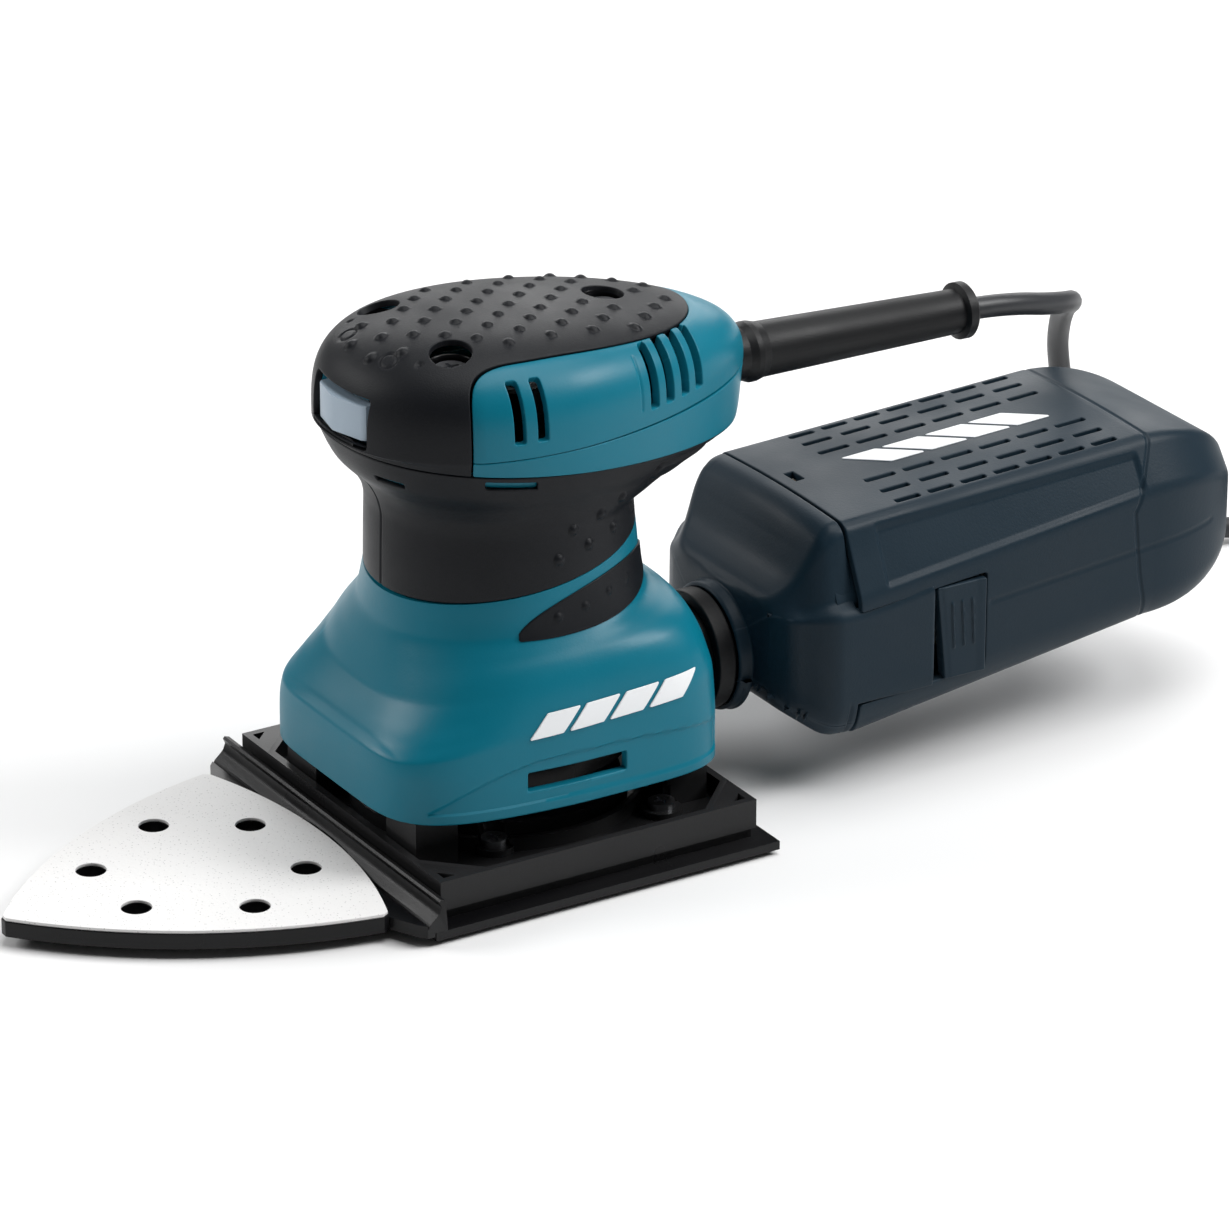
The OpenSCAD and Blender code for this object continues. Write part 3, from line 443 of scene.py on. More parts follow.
for n in range(int(7.25 * 24) + 1):
    turn = n / 24
    here = min(int(turn), 7)
    share = float(step((turn - here - 0.75) / 0.25)) if here < 7 else 0.0
    low, high = coil_rows[here], coil_rows[min(here + 1, 7)]
    radius = low[0] + (high[0] - low[0]) * share
    angle = math.pi - 2 * math.pi * turn
    coil.append((coil_centre[0] + radius * math.cos(angle),
                 coil_centre[1] + radius * math.sin(angle), low[1] + (high[1] - low[1]) * share))
cord_path = through(cord_down + coil + cord_lead, 2.0) * MM

cord_curve = bpy.data.curves.new("power_cord_run", "CURVE")
cord_curve.dimensions = "3D"
cord_curve.bevel_depth = CORD_D / 2 * MM
cord_curve.bevel_resolution = 5
cord_curve.use_fill_caps = True
spline = cord_curve.splines.new("POLY")
spline.points.add(len(cord_path) - 1)
for target, p in zip(spline.points, cord_path):
    target.co = (*p, 1)
spline.use_smooth = True
cord_run = bpy.data.objects.new("power_cord_run", cord_curve)
cord_curve.materials.append(CORD)
scene.collection.objects.link(cord_run)
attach(cord_run, "motor_unit")
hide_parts("power_cord", "cord_coil", "plug_lead")


# ---------------------------------------------------------------- motor unit shells

NECK_Z = 77.4      # foot of the neck
SLEEVE_Z = 107.2   # top of the sleeve, over the spindle
SLEEVE_TILT = -0.12
COVER_Z = 114      # foot of the head cover
COVER_H = 25.2
SPIGOT_Z = 32.7    # axis of the suction spigot
GUARD_Z = 112.1    # axis of the cord guard

# Sections of the shells: height, half width, front, rear, front power, rear power, tilt
skirt = [(22, 45, 49.2, 45, 5.5, 5.5, 0), (30, 45, 49.2, 45, 5.5, 5.5, 0.02),
         (43, 44.7, 49, 44.7, 5.0, 5.2, 0.06), (48, 44, 47.2, 44.1, 4.1, 4.7, 0.07),
         (52.5, 43.1, 44, 43.3, 3.4, 4.1, 0.08), (56.5, 41.8, 41, 42.1, 2.9, 3.5, 0.08),
         (59.5, 40.1, 38.8, 40.5, 2.6, 3.0, 0.07), (62, 37.9, 37, 38.4, 2.36, 2.6, 0.05),
         (65.5, 35.7, 34.9, 36.1, 2.12, 2.2, 0.02)]
neck = [(NECK_Z, 34.4, 33.7, 34.7, 2, 2, 0.18), (84, 34.2, 33.5, 34.5, 2, 2, 0.06),
        (90, 34, 33.3, 34.3, 2, 2, 0), (94, 34.2, 34, 45, 2, 1.95, 0),
        (98, 35, 36.2, 56, 2.1, 1.85, -0.02), (102, 36.4, 41.4, 63.5, 2.2, 1.75, -0.06),
        (SLEEVE_Z, 37.6, 45.3, 68.5, 2.25, 1.7, SLEEVE_TILT)]
rim = (COVER_Z, 38.2, 46.6, 71, 2.25, 1.65, 0)
screw_spots = ((18, -23.2), (-18, -23.2), (0, 31))
vent_ys = (-14.6, -8.6, 25.8, 31.3, 37, 42.5)


def cover_rows(t):
    """Sections of the head cover at shares t of its height."""
    s, rear = (1 - t ** 3.4) ** 0.33, (1 - t ** 2.5) ** 0.36
    return np.stack([COVER_Z + COVER_H * t, 38.2 * s, 46.6 * s, 71 * rear, 2.25 + 0 * t,
                     1.65 + 0.15 * t, -0.045 * t], 1)


fine = 1 - np.linspace(1, 0, 4000) ** 3
fine[-1] = 1
profile = cover_rows(fine)
run = np.concatenate([[0], np.cumsum(np.hypot(np.diff(profile[:, 0]), np.diff(profile[:, 1])))])


def cover_at(spacing):
    """Sections of the cover spaced evenly along its side profile."""
    return cover_rows(np.interp(np.linspace(0, run[-1], int(run[-1] / spacing)), run, fine))


turns = np.linspace(0, 2 * math.pi, 900, endpoint=False)


def patch_distance(p):
    """Distance, in plan, outside the elastomer's area: its front and its patch on top."""
    x, y = p[..., 0], p[..., 1]
    r = np.maximum(np.hypot(x, y), 1e-6)
    length = np.where(y < 0, 40.0, 53.0)
    power = np.where(y < 0, 2.4, 2.1)
    edge = (np.abs(x / r / 28.4) ** power + np.abs(y / r / length) ** power) ** (-1 / power)
    return smooth_min(y + 26.8, r - edge, 15.0)


def screw_distance(p):
    """Distance in plan from the nearest cover screw."""
    return np.min([np.hypot(p[..., 0] - x, p[..., 1] - y) for x, y in screw_spots], 0)


def window_distance(p, grow=0.0):
    """Distance outside the rocker's window, which is in the front of the head."""
    plane = box_distance(p[..., 0], p[..., 2], (0.4, 120.9), (12.8 + grow, 6.4 + grow), 1.0)
    return np.where(p[..., 1] < 0, plane, 50.0)


def vent_distance(p):
    """Distance outside the cooling slots, which are in both sides of the head."""
    y, z = p[..., 1], p[..., 2]
    near = np.min([box_distance(y, z, (v, 125.4), (1.4, 7.4), 0.6) for v in vent_ys], 0)
    return np.where(np.abs(p[..., 0]) > 18, near, 50.0)


# Black elastomer of the head: the whole front, and the patch on top
strip_rows = smooth_rows([102, SLEEVE_Z, COVER_Z], [neck[5], neck[6], rim],
                         np.linspace(SLEEVE_Z, COVER_Z - 0.4, 16))
head = close_top(egg_grid(np.vstack([strip_rows, cover_at(0.42)]), turns))
patch = patch_distance(head)
lattice = [((5.15 if k % 2 else 0) + 10.3 * m, -32.4 + 6.03 * k) for k in range(-1, 14)
           for m in range(-3, 4)]
lattice = [(x, y) for x, y in lattice if abs(x) < 23.5 and y < 46 and
           (x / 25.5) ** 2 + (y / (49 if y > 0 else 41)) ** 2 < 1 and
           all(math.hypot(x - a, y - b) > 7.6 for a, b in screw_spots) and
           all(math.hypot(x - a, y + 36.2) > 3.6 for a in (-10.2, 10.2))]
plan = head[..., :2]
dots = np.zeros(head.shape[:2])
on_top = head[..., 2] > 128
for x, y in lattice:
    near = np.hypot(plan[..., 0] - x, plan[..., 1] - y) / 1.5
    dots = np.maximum(dots, np.where(on_top, 0.85 * np.clip(1 - near ** 2, 0, 1) ** 0.75, 0))
for side in (-1, 1):
    ring = np.hypot((plan[..., 0] - side * 10.2) / 1.15, plan[..., 1] + 36.2)
    dots += np.where(on_top, groove(ring - 2.0, 0.42, 0.3), 0)
    dots += np.where(on_top, groove(np.hypot(plan[..., 0] - side * 17.2, plan[..., 1] + 31.6),
                                    1.1, 0.5), 0)
keep = np.maximum.reduce([patch + 0.34, 5.6 - screw_distance(head), 0.5 - window_distance(head),
                          SLEEVE_Z + 0.4 + SLEEVE_TILT * head[..., 1] - head[..., 2]])
clip_shell("head_grip", head, keep, GRIP, "motor_unit", thick=1.6, edge=0.3, push=dots,
           slot="elastomer", replaces=["top_grip"])

# Wells of the cover screws: a rim ring, a wall and a seat round each screw head
well = [(5.55, 0.0), (5.3, 0.12), (5.15, 0.4), (5.1, 1.2), (5.05, 5.0), (4.9, 6.6), (4.6, 7.0),
        (0.6, 7.05)]
for n, (x, y) in enumerate(screw_spots):
    top_z = float(head[..., 2][np.hypot(head[..., 0] - x, head[..., 1] - y) < 6.4].min()) - 0.15
    inner = [(r, top_z - down) for r, down in well]
    outer = [(6.3, top_z - 8.2), (6.3, top_z - 0.9)]
    lathe("screw_well_%d" % (n + 1), inner[::-1] + outer[::-1], (x, y), BLACK, "motor_unit")

# Teal cover round it, with the cooling slots
top = close_top(egg_grid(cover_at(0.42), turns))
patch = patch_distance(top)
away = np.clip(patch / 2.6, 0, 1)
push = -0.45 * (1 - away) ** 2
bracket = np.where((top[..., 2] > 118.5) & (top[..., 2] < 131.5) & (np.abs(top[..., 0]) > 18),
                   groove(top[..., 1] - 21.4, 0.45, 0.28), 0)
keep = np.maximum.reduce([0.34 - patch, 0.3 - vent_distance(top), COVER_Z + 0.3 - top[..., 2]])
clip_shell("head_cover", top, keep, TEAL, "motor_unit", thick=2.4, edge=0.25, push=push + bracket,
           slot="teal_shell", replaces=["top_cover"])

# Teal edge just inside the rocker's window
frame_rows = egg_grid(cover_at(0.6), turns[500:860], 1.75)
keep = np.maximum.reduce([0.3 - window_distance(frame_rows, -0.9), window_distance(frame_rows) - 4,
                          COVER_Z + 1 - frame_rows[..., 2]])
clip_shell("switch_frame", frame_rows, keep, TEAL, "motor_unit", thick=1.0, edge=0.15, wrap=False,
           slot="teal_shell")


def skirt_shape(points):
    """Narrows the skirt towards its front, and lets its shoulder fall there."""
    y, z = points[..., 1], points[..., 2]
    points[..., 0] *= 1 - 0.13 * np.clip(-y / 46, 0, 1) ** 1.6 * step((70 - z) / 22)
    points[..., 2] = z - 9 * (np.clip(-y - 8, 0, 38) / 38) ** 2 * np.interp(
        z, [34, 54, 74], [0, 1, 0])
    return points


# Lower housing: skirt, shoulder, waist, the tube under the neck grip, and the rim strip
waist = skirt + [neck[0]]
waist_keys = [r[0] for r in waist]
heights = np.concatenate([np.arange(22, NECK_Z, 0.55), [NECK_Z]])
body_rows = smooth_rows(waist_keys, waist, heights)
inner_neck = np.array([(r[0], r[1] - 1.3, r[2] - 1.3, r[3] - 1.3, r[4], r[5], r[6])
                       for r in neck])
tube_rows = smooth_rows([r[0] for r in neck], inner_neck, np.arange(NECK_Z, SLEEVE_Z + 0.1, 1.2))
body = skirt_shape(egg_grid(np.vstack([body_rows, tube_rows]), turns))
side_y, side_z = body[..., 1], body[..., 2]
# Shallow panel round the side window: its top line falls to the front and to the rear
high_line = 36.4 - 0.00988 * np.clip(-side_y - 8, 0, 99) ** 2 - 0.0022 * np.clip(
    side_y - 4, 0, 99) ** 2
panel = np.maximum.reduce([side_z - high_line, 24.6 - side_z, side_y - 60,
                           36 - np.abs(body[..., 0])])
push = -0.5 * step(-panel / 0.45)
window = box_distance(side_y, side_z, (-3, 30.4), (14, 2.6), 0.5)
window = np.where(np.abs(body[..., 0]) > 38, window, 50)
spigot = np.hypot(body[..., 0], side_z - SPIGOT_Z) - 13.3
spigot = np.where(side_y > 30, spigot, 50)
guard_hole = np.where(side_y > 40, np.hypot(body[..., 0], side_z - GUARD_Z - 0.1) - 7.3, 50)
keep = np.maximum.reduce([0.3 - window, 0.2 - spigot, 0.2 - guard_hole, 22.35 - side_z])
clip_shell("lower_housing", body, keep, TEAL, "motor_unit", thick=2.4, edge=0.35, push=push,
           slot="teal_shell", replaces=["motor_housing"])

# Plain broken bars on the sides
for side, sign in (("left", 1), ("right", -1)):
    sweep = np.radians(np.linspace(-40, 50, 420))
    if sign < 0:
        sweep = math.pi - sweep[::-1]
    mark_rows = smooth_rows(waist_keys, waist, np.arange(38, 56, 0.3))
    mark = skirt_shape(egg_grid(mark_rows, sweep, -0.5))
    y, z = mark[..., 1], mark[..., 2]
    along = y - 0.9 * (z - 46)
    middle = 46 + 0.045 * (along - 8)
    keep = np.maximum(np.abs(z - middle) - 2.9, np.abs(along - 8) - 21)
    for gap_at in (-3.5, 7.5, 18.5):
        keep = np.maximum(keep, 1.0 - np.abs(along - gap_at))
    clip_shell("side_mark_" + side, mark, keep, WHITE, "motor_unit", thick=0.4, edge=0.15,
               wrap=False, slot="white_mark", replaces=["badge_" + side])

# Teal strip under the head cover
strip = egg_grid(strip_rows, turns)
keep = np.maximum.reduce([0.34 - patch_distance(strip), strip[..., 2] - COVER_Z + 0.38,
                          SLEEVE_Z + 0.4 + SLEEVE_TILT * strip[..., 1] - strip[..., 2],
                          np.where(strip[..., 1] > 40, 7.6 - np.hypot(
                              strip[..., 0], strip[..., 2] - GUARD_Z), -9)])
clip_shell("rim_strip", strip, keep, TEAL, "motor_unit", thick=2.6, edge=0.25,
           slot="teal_shell")

# Elastomer sleeve of the neck, and the finger grips on the waist
neck_heights = np.arange(NECK_Z, SLEEVE_Z + 0.01, 0.45)
sleeve = egg_grid(smooth_rows([r[0] for r in neck], neck, neck_heights), turns)
neck_bumps = both_sides([(34, 2, 90.8), (33, 10.5, 92.8), (32, 17.3, 95.7), (34.1, -2.3, 83.8),
                         (33.4, 6.7, 85.8), (30.4, 15.5, 87.4), (23.2, 25.2, 88.1)])
push = bumps(sleeve, neck_bumps, 1.5, 0.9)
push += np.where((sleeve[..., 1] < 0) & (sleeve[..., 2] < 103), groove(sleeve[..., 0], 0.5, 0.35),
                 0)
arc = np.degrees(np.arctan2(sleeve[..., 1], np.abs(sleeve[..., 0])))
top_line = SLEEVE_Z + SLEEVE_TILT * sleeve[..., 1]
lobe = box_distance(arc * 0.8, sleeve[..., 2] - top_line, (46, -4.6), (13, 2.6), 2.4)
push += groove(lobe, 0.8, 0.6) + 0.35 * step(-lobe / 1.2)
slot_a = box_distance(arc * 0.62, sleeve[..., 2] - top_line, (-15.2, -2.4), (6.0, 1.0), 0.4)
slot_b = box_distance(arc * 0.75, sleeve[..., 2] - top_line, (-51.5, -6.0), (4.6, 0.75), 0.5)
level = np.broadcast_to(neck_heights[None, :], sleeve.shape[:2])
keep = np.maximum.reduce([NECK_Z + 0.4 - level, level - SLEEVE_Z + 0.3, 0.3 - slot_a,
                          0.2 - slot_b,
                          np.where(sleeve[..., 1] > 40, 7.5 - np.hypot(
                              sleeve[..., 0], sleeve[..., 2] - GUARD_Z), -9)])
clip_shell("neck_sleeve", sleeve, keep, GRIP, "motor_unit", thick=1.1, edge=0.3, push=push,
           slot="elastomer", replaces=["neck_grip"])

leaf_bumps = both_sides([(34.8, -3.2, 69), (34.5, 4.6, 70.3), (32.5, 12.2, 71.9),
                         (28.9, 19.3, 72.5)])
for side, sign in (("left", 1), ("right", -1)):
    sweep = np.radians(np.linspace(-26, 74, 260))
    if sign < 0:
        sweep = math.pi - sweep[::-1]
    leaf_rows = smooth_rows(waist_keys, waist, np.arange(60, NECK_Z - 0.01, 0.4))
    leaf = skirt_shape(egg_grid(leaf_rows, sweep, -0.45))
    arc = np.degrees(np.arctan2(leaf[..., 1], np.abs(leaf[..., 0])))
    low = 64.2 + 0.0009 * np.maximum(arc + 10, 0) ** 2
    high = low + 12 * np.maximum(np.sin(np.radians((arc + 23) * 180 / 96)), 0) ** 0.55
    keep = np.maximum.reduce([low + 0.4 - leaf[..., 2], leaf[..., 2] - high + 0.4, -21.5 - arc])
    clip_shell("finger_grip_" + side, leaf, keep, GRIP, "motor_unit", thick=0.4, edge=0.3,
               wrap=False, push=bumps(leaf, leaf_bumps, 1.45, 0.85), slot="elastomer",
               replaces=["grip_leaf_" + side])


# ---------------------------------------------------------------- dust box

CASE_Y, CASE_END, CASE_CAP = 84.9, 178.0, 36.6
# Wall of the dust box. Its outlines are those of the inside, and push brings them out by this much
WALL = 1.9
case_front = np.array([(27.9, 70.4), (36, 53.4), (36, 24), (33, 17.1)], float)
case_rear = np.array([(27.1, 74.3), (34, 63.2), (34, 33), (31, 28.3)], float)


def rounded_loop(half, cuts, spacing, longest):
    """Closed outline, [X, Z], with rounded corners, from the corners of its left half, top down.
    Every outline made with the same longest has as many points on each of its parts."""
    corners = np.vstack([half, half[::-1] * (-1, 1)])
    cuts = np.concatenate([cuts, cuts[::-1]])
    n = len(corners)
    most = np.vstack([longest, longest[::-1] * (-1, 1)])
    out = []
    for i in range(n):
        p, a, b = corners[i], corners[i - 1], corners[(i + 1) % n]
        start = p + (a - p) * min(cuts[i] / np.linalg.norm(a - p), 0.5)
        end = p + (b - p) * min(cuts[i] / np.linalg.norm(b - p), 0.5)
        next_start = b + (p - b) * min(cuts[(i + 1) % n] / np.linalg.norm(p - b), 0.5)
        t = np.linspace(0, 1, 9)[:, None]
        out.append((start * (1 - t) ** 2 + 2 * p * t * (1 - t) + end * t * t)[:-1])
        count = max(3, int(np.linalg.norm(most[(i + 1) % n] - most[i]) / spacing))
        t = np.linspace(0, 1, count, endpoint=False)[:, None]
        out.append(end * (1 - t) + next_start * t)
    return np.vstack(out)


def case_loop(y):
    """Outline of the dust case at y."""
    f = (y - CASE_Y) / (CASE_END - CASE_Y)
    return rounded_loop(case_front + (case_rear - case_front) * f, np.array([1.3, 1.6, 3, 2.5]), 0.5,
                        case_front)


case_ys = np.concatenate([np.arange(CASE_Y, 168, 0.5), np.arange(168, CASE_END, 0.2), [CASE_END]])
rings = [np.column_stack([loop[:, 0], np.full(len(loop), y), loop[:, 1]])
         for y in case_ys for loop in [case_loop(y)]]
end_loop = case_loop(CASE_END)
for f in np.concatenate([np.arange(0.006, 0.15, 0.006),
                         np.sin(np.linspace(0.155, math.pi / 2, 60))]):
    s = max((1 - f ** 2.15) ** 0.5, 0.004)
    rings.append(np.column_stack([end_loop[:, 0] * (0.25 * s + 0.75 * s ** 0.6),
                                  np.full(len(end_loop), CASE_END + CASE_CAP * f),
                                  50 + (end_loop[:, 1] - 50) * s]))
case = close_top(np.stack(rings, 1))
x, y, z = case[..., 0], case[..., 1], case[..., 2]
crown = np.where((z > 66) & (y < CASE_END + 20), 0.85 * (1 - np.clip(np.abs(x) / 27.4, 0, 1) ** 2),
                 0) * step((CASE_END + 20 - y) / 20)
case[..., 2] = z + crown
z = case[..., 2]
holes = np.full(x.shape, 50.0)
for across, dashes, share in ((10.85, 6, 0.79), (18.3, 6, 0.74), (24.9, 7, 0.76)):
    pitch = 69.1 / (dashes - 1 + share)
    for n in range(dashes):
        middle = 103.3 + pitch * (n + share / 2)
        holes = np.minimum(holes, box_distance(np.abs(x), y, (across, middle),
                                               (1.05, pitch * share / 2), 0.7))
holes = np.minimum(holes, box_distance(x, y, (-2.2, 90.2), (3.0, 1.5), 0.3))
holes = np.where(z > 64, holes, 50)
arm_gap = np.where(np.abs(x) > 30, box_distance(y, z - (y - 100) * 0.06, (100, 38.9),
                                                (24.3, 12.9), 0.8), 50)
slope = np.clip((np.abs(x) - 28.2) / 1.0, 0, 1) * np.clip((z - 54 - 0.1 * (y - 85)) / 1.2, 0, 1)
push = WALL - 0.7 * slope * step((y - 93.5) / 0.8) * step((CASE_END - 2 - y) / 2)
seam_y = np.interp(z, [28, 31.6, 40.5, 58.8, 74], [176, 175.2, 173.4, 171.4, 180])
push += groove(y - seam_y, 0.7, 0.35) * (z > 26)
push += np.where(np.abs(x) > 30, groove(z - 44.6 - 0.07 * (y - 125), 0.9, 0.22), 0) * (y > 125)
keep = np.maximum.reduce([0.15 - holes, 0.25 - arm_gap, CASE_Y + 0.6 - y])
clip_shell("box_case", case, keep, SLATE, "dust_back", thick=WALL, edge=0.3, push=push,
           slot="slate_plastic", replaces=["dust_case"])

# Plain mark on the top of the case, between the rows of dashes
slant = y - 1.1 * x
mark = np.maximum(np.abs(x) - 4.4, np.abs(slant - 136) - 25)
for gap_at in (122.5, 136, 149.5):
    mark = np.maximum(mark, 1.1 - np.abs(slant - gap_at))
clip_shell("case_mark", case, np.where(z > 64, mark, 50), WHITE, "dust_back", thick=0.4, edge=0.15,
           push=np.full(x.shape, WALL + 0.2), slot="white_mark")

# Tongue of the case that the nozzle piece takes in
tongue_rings = [case_loop(y_at) for y_at in np.arange(80, 92, 0.8)]
tongue = np.stack([np.column_stack([0.93 * o[:, 0], np.full(len(o), 80 + 0.8 * n),
                                    46 + 0.93 * (o[:, 1] - 46)])
                   for n, o in enumerate(tongue_rings)], 1)
clip_shell("box_tongue", tongue, np.full(tongue.shape[:2], -1.0), SLATE, "dust_back", thick=1.2,
           edge=0.2, push=np.full(tongue.shape[:2], 1.2), slot="slate_plastic")

# Nozzle piece: round inlet, sloping front, ledge along its side that runs on as the arms
outlines = [(66.4, (18, 51.5), (21.5, 49), (23, 47.6), (23.4, 30), (18.5, 26.5)),
            (67.2, (20.2, 52.6), (23.7, 49.8), (25.2, 48.2), (25.6, 28.5), (21, 24.6)),
            (69.0, (22.8, 54.2), (26.6, 50.4), (28.9, 48.7), (29.3, 26.8), (25, 22.4)),
            (72.5, (25.6, 58), (29.4, 51.2), (32.4, 49.2), (32.8, 25.2), (29, 19.8)),
            (76.5, (27.2, 63.4), (31.5, 51.8), (34.8, 49.6), (35.1, 24.4), (31.6, 18.2)),
            (78.6, (27.7, 66.2), (32, 52.1), (35.6, 49.8), (35.8, 24.1), (32.5, 17.5)),
            (80.4, (27.9, 68.5), (32.3, 52.2), (36, 49.8), (36.1, 24), (32.8, 17.2)),
            (82.6, (27.9, 70.1), (32.5, 52.2), (36.1, 49.7), (36.1, 24), (33, 17.1)),
            (84.5, (27.9, 70.4), (32.5, 52.2), (36.1, 49.7), (36.1, 24), (33, 17.1)),
            (107.6, (27.9, 71.4), (33.2, 54.6), (36.1, 52.4), (36.1, 26), (33, 18.1))]
keys = [o[0] for o in outlines]
values = np.array([[c for p in o[1:] for c in p] for o in outlines], float)
nozzle_ys = np.concatenate([np.arange(66.4, 84.5, 0.42), np.arange(84.5, 107.7, 0.6)])
outline_rows = smooth_rows(keys, values, nozzle_ys).reshape(len(nozzle_ys), 5, 2)
cuts = np.array([2.2, 1.6, 1.1, 4, 4])
loops = [rounded_loop(o, cuts, 0.5, outline_rows[-1]) for o in outline_rows]
first = loops[0]
aim = first - (0, SPIGOT_Z)
circle = aim / np.linalg.norm(aim, axis=1)[:, None]
rings = []
for y_at, r in ((62.0, 16.3), (62.3, 16.8), (62.8, 17.0), (64.9, 17.0), (65.3, 17.15),
                (65.6, 17.5)):
    ring = circle * r + (0, SPIGOT_Z)
    rings.append(np.column_stack([ring[:, 0], np.full(len(ring), y_at), ring[:, 1]]))
start = circle * 17.5 + (0, SPIGOT_Z)
for f in np.linspace(0.1, 0.95, 12):
    ring = start * (1 - f) + first * f
    rings.append(np.column_stack([ring[:, 0], np.full(len(ring), 65.6 + 0.8 * f ** 2),
                                  ring[:, 1]]))
rings += [np.column_stack([o[:, 0], np.full(len(o), y_at), o[:, 1]])
          for o, y_at in zip(loops, nozzle_ys)]
nozzle = np.stack(rings, 1)
x, y, z = nozzle[..., 0], nozzle[..., 1], nozzle[..., 2]
share = step((y - 76) / 4) * (z > 64)
nozzle[..., 2] = z + share * 0.85 * (1 - np.clip(np.abs(x) / 27.8, 0, 1) ** 2)
z = nozzle[..., 2]
arm = np.where(np.abs(x) > 30, np.maximum(np.maximum(z - 50.4 - (y - 86.4) * 0.1, 26 - z),
                                          y - 107.2 - (52.5 - z) * 0.11), 50)
split = np.where((z < 26) & (np.abs(x) > 20), groove(y - 82.5, 0.5, 0.4), 0)
keep = np.minimum(y - 84.2, arm)
clip_shell("box_nozzle", nozzle, keep, SLATE, "dust_front", thick=WALL, edge=0.3,
           push=split + WALL * step((y - 71) / 9),
           slot="slate_plastic", replaces=["dust_nozzle"])


# Latches: flat press tabs with three ribs, slanted along the gap ahead of them
for side, sign in (("left", 1), ("right", -1)):
    across = np.arange(108.4, 124.01, 0.25)
    upward = np.arange(25.6, 52.9, 0.25)
    y, z = np.meshgrid(across, upward, indexing="ij")
    start = 108.5 + (52.5 - z) * 0.11
    sheet = np.maximum.reduce([start - y, y - 123.6, z - 52.2, 26.2 - z])
    swell = 0.35 * step((y - 120.5) / 2.5) - 0.25 * step((start + 2.2 - y) / 1.4)
    ribs = sum(np.clip(1 - ((y - mid - (41.2 - z) * 0.06) / 0.42) ** 2, 0, 1) * 0.45
               for mid in (113.4, 116.5, 119.6)) * step((47.8 - z) / 0.8) * step((z - 34.2) / 0.8)
    tab = np.stack([sign * (35.9 + WALL + swell * 0.6 + ribs), y, z], -1)
    clip_shell("latch_tab_" + side, tab, sheet + 0.35, SLATE, "latch_" + side[0], thick=3.2,
               edge=0.3, wrap=False, flip=sign < 0, slot="slate_plastic",
               replaces=["latch_" + side])


# ---------------------------------------------------------------- CAD nodes that stay

finishes = {
    BLACK: ("switch_body", "bearing_bracket", "cord_clamp", "dust_shroud", "dust_spigot",
            "base_tray", "delta_carrier", "delta_pad", "square_pad"),
    RUBBER: ("cord_guard", "leg_front_left", "leg_front_right", "leg_rear_left",
             "leg_rear_right", "nozzle_collar", "cord_tie", "mains_plug"),
    PALE: ("switch_rocker",),
    DARK_STEEL: ("cover_screws", "clamp_screws", "leg_screws", "pad_screws"),
    STEEL: ("armature_shaft", "upper_bearing", "lower_bearing", "orbit_bearing", "crank_weight"),
    CORE: ("stator_core", "armature_core"),
    COPPER: ("stator_coils", "armature_windings", "commutator"),
    BRASS: ("brush_holder_left", "brush_holder_right"),
    CARBON: ("carbon_brush_left", "carbon_brush_right"),
    ALLOY: ("bearing_plate", "cooling_fan", "dust_fan"),
    YELLOW: ("capacitor",),
    FELT: ("delta_sheet",),
    FOAM: ("delta_foam",),
    HOOK: ("square_face",),
    CARD: ("bag_card",),
    PAPER: ("dust_bag",),
}
for material, names in finishes.items():
    for name in names:
        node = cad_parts[name]
        node.data.materials.clear()
        node.data.materials.append(material)

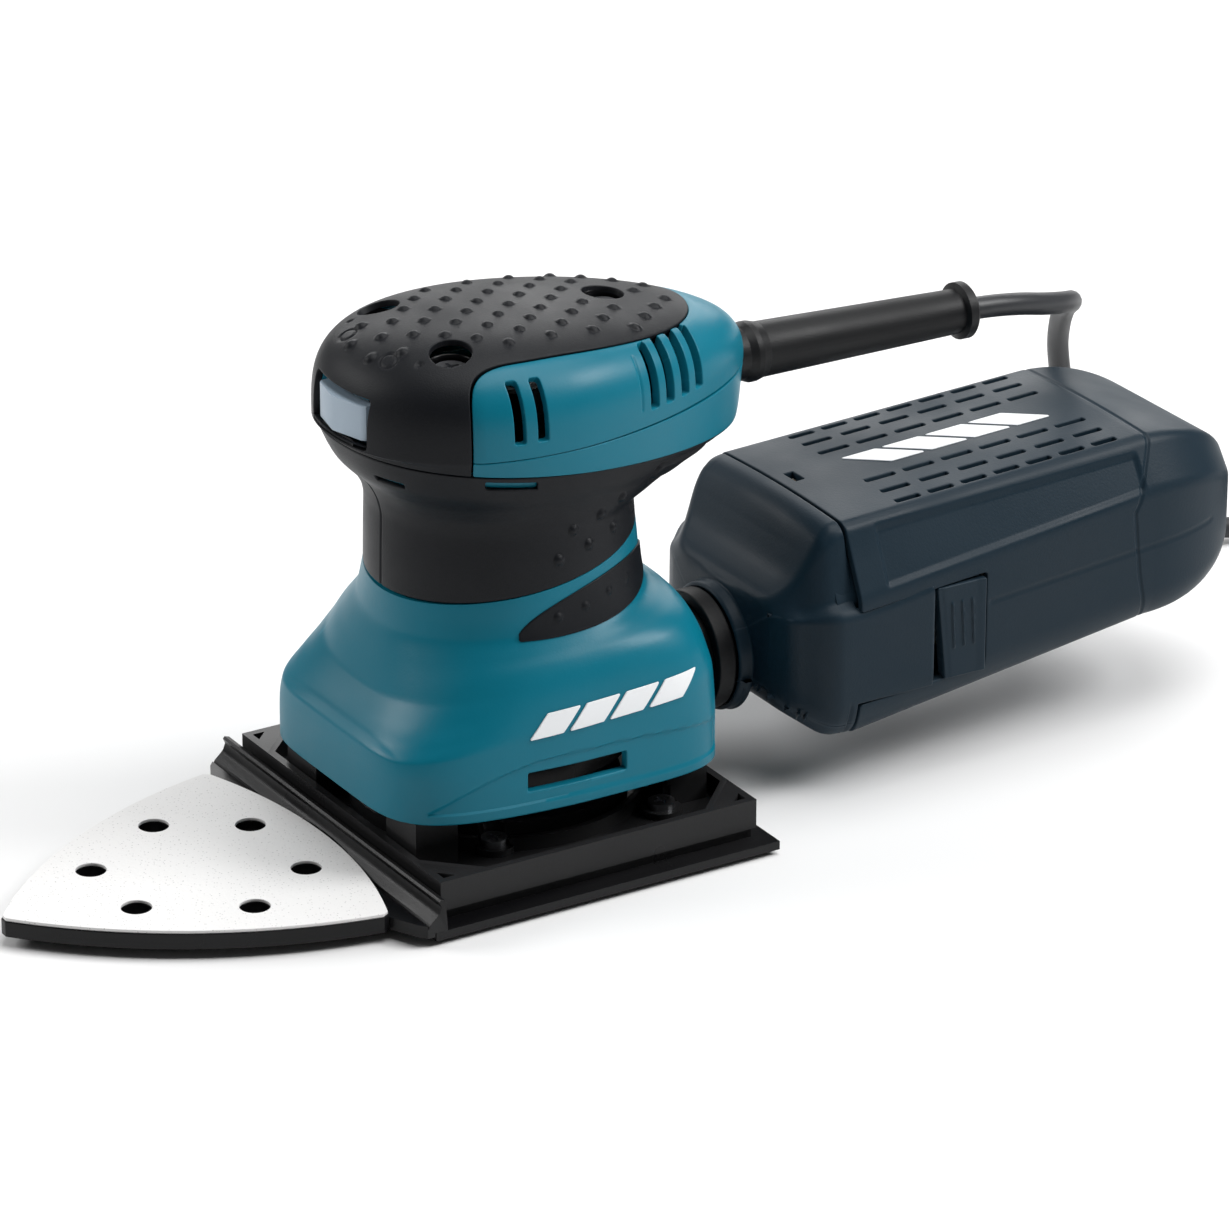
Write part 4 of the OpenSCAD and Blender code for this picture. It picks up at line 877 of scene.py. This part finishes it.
softened = {"base_tray": 0.35, "delta_carrier": 0.35, "delta_pad": 0.3, "square_pad": 0.4,
            "switch_rocker": 0.7, "nozzle_collar": 0.5, "dust_spigot": 0.3, "delta_sheet": 0.12,
            "dust_shroud": 0.4}
for name, width in softened.items():
    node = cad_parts[name]
    if "custom_normal" in node.data.attributes:
        node.data.attributes.remove(node.data.attributes["custom_normal"])
    node.data.shade_smooth()
    weld = node.modifiers.new("weld", "WELD")
    weld.merge_threshold = 1e-6
    bevel = node.modifiers.new("bevel", "BEVEL")
    bevel.width = width * MM
    bevel.segments = 2
    bevel.limit_method = "ANGLE"
    bevel.angle_limit = math.radians(35)
    even = node.modifiers.new("normals", "WEIGHTED_NORMAL")
    even.weight = 60


# ---------------------------------------------------------------- floor and light

floor = bpy.data.meshes.new("floor")
floor.from_pydata([(-4, -4, -0.0006), (4, -4, -0.0006), (4, 4, -0.0006), (-4, 4, -0.0006)], [],
                  [(0, 1, 2, 3)])
floor_piece = bpy.data.objects.new("floor", floor)
scene.collection.objects.link(floor_piece)
floor_material, floor_shader = node_setup("floor_paper")[:2]
floor_shader.inputs["Base Color"].default_value = (0.86, 0.86, 0.86, 1)
floor_shader.inputs["Roughness"].default_value = 0.9
floor.materials.append(floor_material)

world = bpy.data.worlds.new("studio")
scene.world = world
world.use_nodes = True
world.node_tree.nodes["Background"].inputs["Color"].default_value = (1, 1, 1, 1)
world.node_tree.nodes["Background"].inputs["Strength"].default_value = 0.08


def softbox(name, place, target, size, power):
    """Rectangular area light that faces its target."""
    light = bpy.data.lights.new(name, "AREA")
    light.shape = "RECTANGLE"
    light.size, light.size_y = size
    light.energy = power
    lamp = bpy.data.objects.new(name, light)
    scene.collection.objects.link(lamp)
    lamp.location = place
    lamp.rotation_mode = "QUATERNION"
    lamp.rotation_quaternion = (Vector(target) - Vector(place)).to_track_quat("-Z", "Y")


softbox("key", (-0.9, -1.0, 0.8), (0, 0.03, 0.07), (0.8, 0.6), 10)
softbox("overhead", (0.1, 0.3, 1.5), (0, 0.08, 0.05), (1.3, 1.1), 18)
softbox("sheen", (0.75, 1.15, 1.2), (0, 0.06, 0.09), (0.7, 0.6), 20)
softbox("backdrop", (-1.35, 0.8, 0.7), (0, 0.08, 0.06), (1.8, 0.8), 13)

scene.view_settings.view_transform = "Standard"
